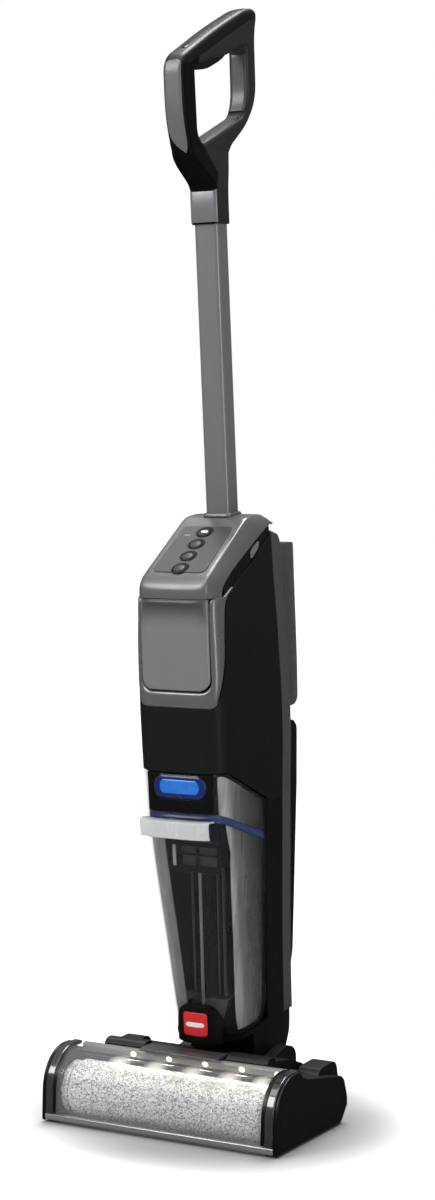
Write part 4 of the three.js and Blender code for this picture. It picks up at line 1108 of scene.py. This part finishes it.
def build_tank():
    rows = []
    for inset, w in ((9, 52.0), (2.4, 52.1), (0.9, 52.7), (0.1, 54.4)):
        rows.append(closed_row(lambda v, w=w: w, inset, rear_of(w) - inset))
    steps = 40
    for k in range(1, steps + 1):
        t = k / steps

        def height(v, t=t):
            return 54.4 + (rim(v, 1.2) - 54.4) * t
        rows.append(closed_row(height, 0.0, rear_of(54.4 + 175 * t)))
    mesh = sheet_mesh("tank_cup_fine", rows, closed=True, cap_first=True, outward_from=(0, -45, 170))
    made = place("tank_cup_fine", mesh, BODY, CLEAR, "recovery_tank", ("tank_cup",), 40)
    thicken(made, 2.2)
    tank_ring("tank_gasket_fine", lambda v: rim(v, GASKET_LOW), lambda v: rim(v, GASKET_HIGH), 2.5, 2.0,
              SEAL, ("tank_gasket",), 4)
    tank_ring("lid_skirt", lambda v: rim(v, 1.7), lambda v: cover_edge(v, 1.2), 0.4, 1.8,
              CLEAR, ("tank_lid",), 12)
    tank_ring("lid_core", lambda v: rim(v, 5.0), lambda v: cover_edge(v, 3.0), 8.4, 1.6,
              SOFT, (), 10, True)
    # Black panel across the front of the lid, with a pill-shaped pocket for the button.
    rows = []
    for w in column(294.5, 334.6, 20):
        reach = arc_x(36.0, w, 0.4) + 1.5
        rows.append([surf(reach * (-1 + 2 * k / 40), w, 0.35, 0.4) for k in range(41)])
    made = shell("lid_front", rows, (0, 0, 310), BODY, BLACK, "recovery_tank", (), 40, 3.4)
    pill = prism("pill", corner_points([(-31.4, 307.6, 13), (31.4, 307.6, 13), (31.4, 334.0, 13),
                                        (-31.4, 334.0, 13)]), -30, 30)
    boolean(made, pill, BODY @ Matrix.Translation((0, -97, 0)) @ FACING, "DIFFERENCE")
    finish_mesh(made.data, 40)
    soften_edges(made, 0.6, 2, 50)
    # The latch button: a navy pill under a paler blue raised pad, painted shade at its rim and a painted
    # highlight at its middle.
    crowned_pill("tank_latch_fine", 30.6, 308.4, 333.2, 12.4, 0.4, 3.0, NAVY_PAINTED_SHADE, ("tank_latch",))
    crowned_pill("latch_highlight_pad", 24.0, 312.6, 329.6, 8.5, 1.1, 2.6, BLUE)
    # Clear grip that stands off the front.
    rows = []
    for off, w in ((12.6, 269.8), (13.9, 270.6), (14.6, 273), (14.9, 279), (14.8, 284.5), (13.8, 287.6),
                   (11.6, 289.0), (7, 288.8), (0.6, 287.6)):
        row = []
        for k in range(45):
            q = -1 + 2 * k / 44
            x = GRIP_MIDDLE + GRIP_HALF * q
            wall_v = surf(arc_x(min(abs(x), 36), w), w)[1]
            row.append((x, wall_v - off * (1 - 0.06 * abs(q) ** 6), w))
        rows.append(row)
    shell("tank_grip_fine", rows, (0, -60, 280),
          BODY, FROST, "recovery_tank", ("tank_grip",), 60, 2.0, 0.6)
    build_tank_inside()


def crowned_pill(name, half, low, high, radius, proud, fall, material, nodes=()):
    """A pill on the lid's front whose face bulges by proud and falls away by fall at its rim."""
    rows = []
    for k in range(25):
        w = low + (high - low) * (0.5 - 0.5 * cos(pi * k / 24))
        dist = min(w - low, high - w)
        edge = half - corner_cut(dist, radius)
        row = []
        for m in range(37):
            x = edge * sin(pi / 2 * (-1 + 2 * m / 36))
            gap = min(edge - abs(x), dist)
            off = proud - fall * rim_fall(gap, 4.5)
            reach = arc_x(abs(x), w, 0.6)
            row.append(surf(reach if x >= 0 else -reach, w, off, 0.6))
        rows.append(row)
    return shell(name, rows, (0, -40, 322), BODY, material, "tank_latch", nodes, 60, 1.4)


ROD_V = -52.0                           # how far forward the rod and the ribs stand
LID_LINING_X = 40.0                     # where the lid's side linings start, clear of the button


def build_tank_inside():
    """What shows through the clear walls: misted side linings with painted highlight and shade, a dark liner,
    bars, one with a pale strip of painted highlight, a bright rod that is a painted highlight, and ribs.
    """
    # Misted side linings that carry a painted highlight at the front and painted shade to the back.
    for side, name, starts in ((-1, "left", (16, 18, 21)), (1, "right", (34.5, 39.5, 43.5))):
        for part, low_of, high_of in (("cup", lambda v: 56.5, lambda v: rim(v, GASKET_LOW - 0.6)),
                                      ("lid", lambda v: rim(v, GASKET_HIGH + 0.6),
                                       lambda v: cover_edge(v, 4.2))):
            rows = []
            for r in range(33):
                row = []
                for c in range(33):
                    w = 170.0
                    for _ in range(4):
                        edge = np.interp(w, (70, 170, 250), starts) if part == "cup" else LID_LINING_X
                        start = arc_x(edge, w, 2.9)
                        end = arc_v(rear_of(w) - 4.5, w, 2.9)
                        v = v_at(start + (end - start) * c / 32, w, 2.9)
                        w = low_of(v) + (high_of(v) - low_of(v)) * r / 32
                    row.append(surf(side * (start + (end - start) * c / 32), w, 0, 2.9))
                rows.append(row)
            shell("%s_lining_%s" % (part, name), rows, (0, -45, 200),
                  BODY, HAZE_PAINTED_SHEEN, "recovery_tank", (), 60, 0.5)
    # Dark liner: a channel open to the front.
    rows = []
    for w in column(60, 256, 12):
        front, back = np.interp(w, _HEIGHTS, _FRONTS) + 23, rear_of(w) - 8
        near, far = arc_v(front, w, 5.5), arc_v(back, w, 5.5)
        left = [surf(-(near + (far - near) * k / 10), w, 0, 5.5) for k in range(11)]
        right = [(-x, v, h) for x, v, h in reversed(left)]
        across_back = [(left[-1][0] * (1 - 2 * k / 12), left[-1][1], w) for k in range(1, 12)]
        rows.append(left + across_back + right)
    shell("tank_liner", rows, (0, 60, 160), BODY, INK, "recovery_tank", (), 40, 0.8)
    # Strainer's open front: dark bars before a paler pane.
    for name, x, half in (("left", -14.5, 7.5), ("mid", 11.0, 1.6), ("right", 36.0, 2.3)):
        bar_at("strainer_post_" + name, (x - half, x + half), (-87.5, -84.5), (232, 262), SOFT)
    for name, w, half in (("top", 259.5, 2.5), ("mid", 248.5, 1.2), ("low", 233.5, 3.8)):
        bar_at("strainer_rail_" + name, (-22, 38), (-88.0, -85.2), (w - half, w + half), SOFT)
    bar_at("strainer_pane", (-8, 36), (-83.6, -82.8), (236, 258), RIB)
    # A pale frosted strip down the left post: a painted highlight.
    bar_at("strainer_post_highlight", (-16.3, -12.7), (-89.5, -87.7), (236, 258), FROST)
    # The bright rod is a painted highlight of the standpipe; the ribs are grey.
    for name, x_low, x_high, low, high, half, material in (("rod_highlight", -8.3, -5.7, 64, 226, 1.7, ROD_HIGHLIGHT),
                                                           ("rib_left", -17, -15, 92, 226, 1.2, RIB),
                                                           ("rib_mid", 12, 15, 90, 228, 1.0, RIB),
                                                           ("rib_right", 19, 22, 90, 226, 1.6, RIB)):
        rows = []
        around = np.linspace(0, 2 * pi, 20)[:-1]
        for t in np.linspace(0, 1, 12):
            x, w = x_low + (x_high - x_low) * t, low + (high - low) * t
            rows.append([(x + half * cos(a), ROD_V + half * sin(a), w) for a in around])
        mesh = sheet_mesh(name, rows, closed=True, cap_first=True, cap_last=True)
        place(name, mesh, BODY, material, "recovery_tank", (), 50)


def bar_at(name, xs, vs, ws, material):
    """A small upright bar with rounded edges, between two values on each axis."""
    outline = corner_points([(xs[0], ws[0], 0.7), (xs[1], ws[0], 0.7), (xs[1], ws[1], 0.7),
                             (xs[0], ws[1], 0.7)], 4)
    half = (vs[1] - vs[0]) / 2
    mesh = plate_mesh(name, [outline], half, min(0.6, half * 0.6))
    at = BODY @ Matrix.Translation((0, (vs[0] + vs[1]) / 2, 0)) @ FACING
    place(name, mesh, at, material, "recovery_tank", (), 40)


# ------------------------------------------------------------------ floor head
BEND_Y, BEND_Z = 41, 35                 # the centre of the window's bend
BRUSH_Y, BRUSH_Z = 38, 31               # the brush's axis


def window_section(inset, low, end, steps=26):
    """(y, z) points up the front, round the bend and back along the top."""
    radius = BEND_Y - inset
    points = [(inset, low), (inset, (low + BEND_Z) / 2)]
    for k in range(steps + 1):
        a = pi - pi / 2 * k / steps
        points.append((BEND_Y + radius * cos(a), BEND_Z + radius * sin(a)))
    points.append((end, BEND_Z + radius))
    return points


def swept(name, section, x0, x1, material, body, nodes, thick, bevel=0.0, columns=24, sharp=40):
    rows = [[(x0 + (x1 - x0) * k / columns, y, z) for k in range(columns + 1)] for y, z in section]
    return shell(name, rows, (0, 45, 30), HEAD, material, body, nodes, sharp, thick, bevel)


def build_window():
    inner = 130.7
    swept("window_fine", window_section(0, 10, 50), -120.7, 120.7, WINDOW, "window",
          ("window",), 2.4, 0.4)
    for side, name in ((-1, "left"), (1, "right")):
        x0, x1 = sorted((side * 121.0, side * inner))
        swept("window_end_%s_fine" % name, window_section(0, 10, 57), x0, x1, EDGE, "window",
              ("window_end_" + name,), 4.3, 1.6, 4)
        # A raised dark bead where the clear panel meets its end frame.
        section = window_section(-0.1, 11, 50)
        b0, b1 = sorted((side * 117.4, side * 121.4))
        swept("window_bead_" + name, section, b0, b1, BLACK, "window", (), 1.2, 0.4, 3)
    lip = corner_points([(0.3, 4, 1.2), (2, 2.5, 0.6), (6.4, 2.5, 0.8), (6.4, 9.4, 0.8), (0.1, 9.4, 1.4)])
    side_plate("window_lip_fine", [lip], -inner, inner, 0.4, HEAD, LIP, "window", ("window_lip",), 40)
    tab = corner_points([(44, 76.4, 0.6), (72, 76.4, 0.6), (72, 78, 1), (68, 79.6, 2), (50, 79.6, 3),
                         (44, 77.8, 1)])
    side_plate("window_tab_fine", [tab], -45, 45, 0.5, HEAD, TAB, "window", ("window_tab",), 40)


def build_side_plates():
    angles = [pi - pi / 2 * k / 24 for k in range(1, 24)]
    bend = [(BEND_Y + 40.5 * cos(a), BEND_Z + 40.5 * sin(a)) for a in angles]
    section = corner_points([(0.5, 1.5, 3.5), (0.5, 34)] + bend
                            + [(52, 75.5, 3), (60, 68.6, 4), (72, 64.5, 4), (153, 51, 4), (160, 46, 3),
                               (169.4, 24, 6), (166, 15, 4), (154, 1.5, 4)])
    for side, name in ((-1, "left"), (1, "right")):
        x0, x1 = sorted((side * 131.0, side * 134.9))
        side_plate("side_plate_%s_fine" % name, [section], x0, x1, 1.5, HEAD, BLACK, "head",
                   ("side_plate_" + name,), 40)
        rib = [(a * 0.86 + 11, b * 0.80 + 7) for a, b in section]
        p0, p1 = sorted((side * 134.2, side * 135.0))
        side_plate("side_panel_" + name, [rib], p0, p1, 0.35, HEAD, SATIN, "head", (), 40)


def build_brush():
    rng = np.random.default_rng(7)
    around, along = 300, 360
    angle = np.linspace(0, 2 * pi, around, endpoint=False)
    xs = np.linspace(-109.8, 109.8, along)
    tuft = rng.normal(0, 0.55, (along, around))
    tuft = (tuft + np.roll(tuft, 1, 1) + np.roll(tuft, 1, 0)) / 1.8
    rows = []
    for i, x in enumerate(xs):
        fade = min(1, (109.8 - abs(x)) / 3)
        radius = 29.2 * (0.94 + 0.06 * fade) + np.clip(tuft[i], -1.2, 0.8) * fade
        rows.append([(x, BRUSH_Y + r * cos(a), BRUSH_Z + r * sin(a)) for r, a in zip(radius, angle)])
    mesh = sheet_mesh("brush_pile_fine", rows, closed=True, cap_first=True, cap_last=True, merge=0.0001)
    place("brush_pile_fine", mesh, HEAD, PILE, "brush", ("brush_pile",), 180)


def build_end_felts():
    """A pale felt seal between each end of the brush and the chamber wall."""
    rng = np.random.default_rng(11)
    for side, name in ((-1, "left"), (1, "right")):
        rows = []
        angles = np.linspace(radians(85), radians(265), 120)
        for x in np.linspace(111.4, 117.2, 8):
            radii = 28.0 + rng.normal(0, 0.35, 120)
            rows.append([(side * x, BRUSH_Y + r * cos(a), BRUSH_Z + r * sin(a))
                         for r, a in zip(radii, angles)])
        shell("end_felt_" + name, rows, (side * 114, 38, 31), HEAD, PILE, "head", (), 180, 4.0)


LED_PLACES = (-56, -14, 28, 70, 110)


def build_lights():
    section = corner_points([(51.6, 66.2, 1), (57.8, 66.2, 1), (57.8, 75, 1), (54, 75, 2), (51.6, 72, 2)])
    side_plate("light_bar", [section], -117.8, 117.8, 0.5, HEAD, BARGLOW, "head", ("led_bar",), 40)
    for k, x in enumerate(LED_PLACES):
        lens = [(0, 0), (3.2, 0), (3.2, 0.8), (2.6, 1.4), (1.5, 1.8), (0, 2.0)]
        at = HEAD @ Matrix.Translation((x, 51.7, 70)) @ Matrix.Rotation(radians(118), 4, "X")
        turned("led_%d" % (k + 1), lens, at, LED, "head", "lamp", (), 28)
        # The lamp's glow on the inside of the window's bend.
        bend = np.linspace(radians(142), radians(90), 18)
        arc = [(BEND_Y + 36.8 * cos(a), BEND_Z + 36.8 * sin(a)) for a in bend]
        arc += [(46.0, 71.8), (50.5, 71.8)]
        rows = [[(min(x + 18 * q, 119.6), y, z) for q in np.linspace(-1, 1, 13)] for y, z in arc]
        mesh = sheet_mesh("led_glow_%d" % (k + 1), rows, outward_from=(0, 45, 30))
        made = place("led_glow_%d" % (k + 1), mesh, HEAD, BLOOM, "head", (), 60)
        made.visible_shadow = False


# ------------------------------------------------------------------ badge
def build_badge():
    """A plain red plate with a white stripe, curved with the boss it sits on."""
    def plate(name, half, low, high, proud, material, nodes=()):
        corner = 3.5 if half > 10 else 1.0
        rows = []
        for k in range(25):
            w = low + (high - low) * (0.5 - 0.5 * cos(pi * k / 24))
            edge = half - corner_cut(min(w - low, high - w), corner)
            row = []
            for m in range(25):
                x = edge * sin(pi / 2 * (-1 + 2 * m / 24))
                gap = min(edge - abs(x), w - low, high - w)
                fall = 0.5 * rim_fall(gap, 0.8)
                row.append((x, -87.0 - proud + 0.0088 * x * x + fall, w))
            rows.append(row)
        shell(name, rows, (0, -40, 67), BODY, material, "body", nodes, 60, 0.7)
    plate("badge_base", 14.0, 55, 80, 0.9, RED, ("badge",))
    plate("badge_stripe", 11.0, 64.5, 69.5, 1.3, WHITE)


# ------------------------------------------------------------------ everything
def build_softened():
    plain = [
        ("sole_plate", SATIN, "head", "black", 0.5), ("brush_chamber", CHARCOAL, "head", "charcoal", 0.4),
        ("intake_duct", CHARCOAL, "head", "charcoal", 0.4), ("head_cover", SATIN, "head", "charcoal", 1.1),
        ("squeegee", RUBBER, "head", "rubber", 0.2), ("brush_motor", METAL, "head", "metal", 0.6),
        ("drive_belt", RUBBER, "head", "rubber", 0.3), ("brush_core", CHARCOAL, "brush", "charcoal", 0.3),
        ("brush_pulley", SATIN, "brush", "black", 0.4), ("brush_end_cap", SATIN, "brush", "black", 0.6),
        ("motor_pulley", METAL, "motor_pulley", "metal", 0.4),
        ("wheel_hub_left", CHARCOAL, "wheel_left", "charcoal", 0.6),
        ("wheel_tyre_left", RUBBER, "wheel_left", "rubber", 0.6),
        ("wheel_hub_right", CHARCOAL, "wheel_right", "charcoal", 0.6),
        ("wheel_tyre_right", RUBBER, "wheel_right", "rubber", 0.6),
        ("neck_yoke", SATIN, "neck", "black", 1.2), ("neck_hose", SOFT, "neck", "soft", 0.3),
        ("main_frame", BLACK, "body", "black", 0.8), ("rear_shell", BAND, "body", "band", 1.2),
        ("hose_cover", BLACK, "body", "black", 1.4), ("suction_motor", METAL, "body", "metal", 0.6),
        ("water_pump", SATIN, "body", "black", 0.6), ("circuit_board", BOARD, "body", "board", 0.2),
        ("battery_pack", CHARCOAL, "battery", "charcoal", 1.5),
        ("standpipe", SATIN, "recovery_tank", "soft", 0.5), ("strainer", SATIN, "recovery_tank", "soft", 0.4),
        ("tank_filter", FILTER, "recovery_tank", "pile", 0.5), ("float", FROST, "float", "lip", 0.6),
        ("clean_tank", SMOKE, "clean_tank", "smoke", 1.6), ("fill_cap", BLUE, "fill_cap", "blue", 0.5),
    ]
    for name, material, body, slot, width in plain:
        softened(name, material, body, width)


build_softened()
build_cover()
build_bezel()
build_slots()
build_door()
build_housing()
build_wand()
build_handle()
build_controls()
build_tank()
build_window()
build_side_plates()
build_brush()
build_end_felts()
build_lights()
build_badge()

# ------------------------------------------------------------------ stage, light and camera


# Middle and reach of the floor's painted shadow round the head, in metres.
SHADOW_PATCH_MIDDLE, SHADOW_PATCH_REACH = (0.01, -0.012, 0.0), (0.235, 0.215, 1.0)


def floor_with_painted_shadow(name):
    """White floor with a soft grey painted shadow round the head."""
    material = moulded(name, (0.88, 0.88, 0.885), 0.8, bump=0.01, vary=0.01, spec=0.0)
    tree = material.node_tree
    shader = tree.nodes["Principled BSDF"]
    base = shader.inputs["Base Color"].links[0].from_socket
    coords = node(tree, "ShaderNodeTexCoord").outputs["Object"]
    moved = node(tree, "ShaderNodeVectorMath", {1: SHADOW_PATCH_MIDDLE}, operation="SUBTRACT")
    tree.links.new(coords, moved.inputs[0])
    scaled = node(tree, "ShaderNodeVectorMath", {1: SHADOW_PATCH_REACH}, operation="DIVIDE")
    tree.links.new(moved.outputs["Vector"], scaled.inputs[0])
    far = node(tree, "ShaderNodeVectorMath", operation="LENGTH")
    tree.links.new(scaled.outputs["Vector"], far.inputs[0])
    # Painted shadow: grey near the head, fading to the white floor.
    painted_shade = node(tree, "ShaderNodeMapRange", {"From Min": 0.60, "From Max": 1.12,
                                              "To Min": 0.42, "To Max": 1.0},
                 interpolation_type="SMOOTHSTEP")
    tree.links.new(far.outputs["Value"], painted_shade.inputs["Value"])
    painted_shade_colour = node(tree, "ShaderNodeVectorMath", operation="SCALE")
    tree.links.new(base, painted_shade_colour.inputs["Vector"])
    tree.links.new(painted_shade.outputs["Result"], painted_shade_colour.inputs["Scale"])
    tree.links.new(painted_shade_colour.outputs["Vector"], shader.inputs["Base Color"])
    return material


def build_stage():
    mesh = bpy.data.meshes.new("floor")
    mesh.from_pydata([(-40, -40, 0), (40, -40, 0), (40, 40, 0), (-40, 40, 0)], [], [(0, 1, 2, 3)])
    floor = bpy.data.objects.new("floor", mesh)
    bpy.context.scene.collection.objects.link(floor)
    mesh.materials.append(floor_with_painted_shadow("floor_pale_painted_shadow"))
    floor.visible_glossy = False
    world = bpy.data.worlds.new("studio")
    bpy.context.scene.world = world
    world.use_nodes = True
    tree = world.node_tree
    # White to the camera, an even dim grey to matt surfaces; gloss sees a dim room, brighter overhead.
    heading = node(tree, "ShaderNodeTexCoord").outputs["Generated"]
    height = node(tree, "ShaderNodeSeparateXYZ")
    tree.links.new(heading, height.inputs["Vector"])
    room = node(tree, "ShaderNodeBackground", {"Color": (1, 1, 1, 1)})
    tree.links.new(ramp(tree, height.outputs["Z"], -0.1, 1.0, 0.05, 0.34), room.inputs["Strength"])
    matt = node(tree, "ShaderNodeBackground", {"Color": (1, 1, 1, 1), "Strength": 0.27})
    seen = node(tree, "ShaderNodeBackground", {"Color": (1, 1, 1, 1), "Strength": 1.0})
    path = node(tree, "ShaderNodeLightPath")
    first = node(tree, "ShaderNodeMixShader")
    tree.links.new(path.outputs["Is Diffuse Ray"], first.inputs["Fac"])
    tree.links.new(room.outputs["Background"], first.inputs[1])
    tree.links.new(matt.outputs["Background"], first.inputs[2])
    second = node(tree, "ShaderNodeMixShader")
    tree.links.new(path.outputs["Is Camera Ray"], second.inputs["Fac"])
    tree.links.new(first.outputs["Shader"], second.inputs[1])
    tree.links.new(seen.outputs["Background"], second.inputs[2])
    tree.links.new(second.outputs["Shader"], tree.nodes["World Output"].inputs["Surface"])


def area_light(name, place_at, aim, size, power, colour=(1, 1, 1)):
    lamp = bpy.data.lights.new(name, "AREA")
    lamp.shape = "RECTANGLE"
    lamp.size, lamp.size_y = size
    lamp.energy = power
    lamp.color = colour
    made = bpy.data.objects.new(name, lamp)
    made.location = place_at
    made.rotation_euler = (Vector(aim) - Vector(place_at)).to_track_quat("-Z", "Y").to_euler()
    bpy.context.scene.collection.objects.link(made)


def overhead_light():
    """A broad soft light from above: it whitens the floor and leaves a shadow round the head."""
    lamp = bpy.data.lights.new("overhead", "SUN")
    lamp.energy = 3.5
    lamp.angle = radians(34)
    made = bpy.data.objects.new("overhead", lamp)
    made.rotation_euler = (radians(-19), radians(-7), 0)
    bpy.context.scene.collection.objects.link(made)


def build_camera():
    azimuth, yaw, pitch, roll = radians(29.05), radians(-1.37), radians(1.51), radians(1.04)
    distance, height = 2.1996, 0.6014
    turn = azimuth + yaw
    forward = Vector((-sin(turn) * cos(pitch), cos(turn) * cos(pitch), -sin(pitch)))
    right = forward.cross(Vector((0, 0, 1))).normalized()
    up = right.cross(forward)
    right2 = right * cos(roll) + up * sin(roll)
    up2 = -right * sin(roll) + up * cos(roll)
    turn_matrix = Matrix((right2, up2, -forward)).transposed().to_4x4()
    lens = bpy.data.cameras.new("camera")
    lens.sensor_width = 36
    lens.lens = 66.18
    camera = bpy.data.objects.new("camera", lens)
    stand = (sin(azimuth) * distance, -cos(azimuth) * distance - CENTRE_Y, height)
    camera.matrix_world = Matrix.Translation(stand) @ turn_matrix
    bpy.context.scene.collection.objects.link(camera)
    bpy.context.scene.camera = camera


build_stage()
area_light("key", (-1.5, -2.6, 2.3), (0, 0, 0.6), (1.3, 1.6), 50)
area_light("side_strip", (2.2, -1.25, 0.8), (0, 0, 0.55), (0.45, 1.9), 14)
area_light("overhead_front", (-0.3, -1.0, 2.6), (0, 0, 0.8), (1.8, 1.4), 20)
overhead_light()
for lamp_x in LED_PLACES:
    area_light("led_light_%d" % lamp_x, tuple(HEAD @ Vector((lamp_x, 49.5, 69.5))),
               tuple(HEAD @ Vector((lamp_x, 20, 45))), (0.012, 0.006), 0.05, (1.0, 0.88, 0.66))
build_camera()
bpy.context.scene.view_settings.view_transform = "Standard"
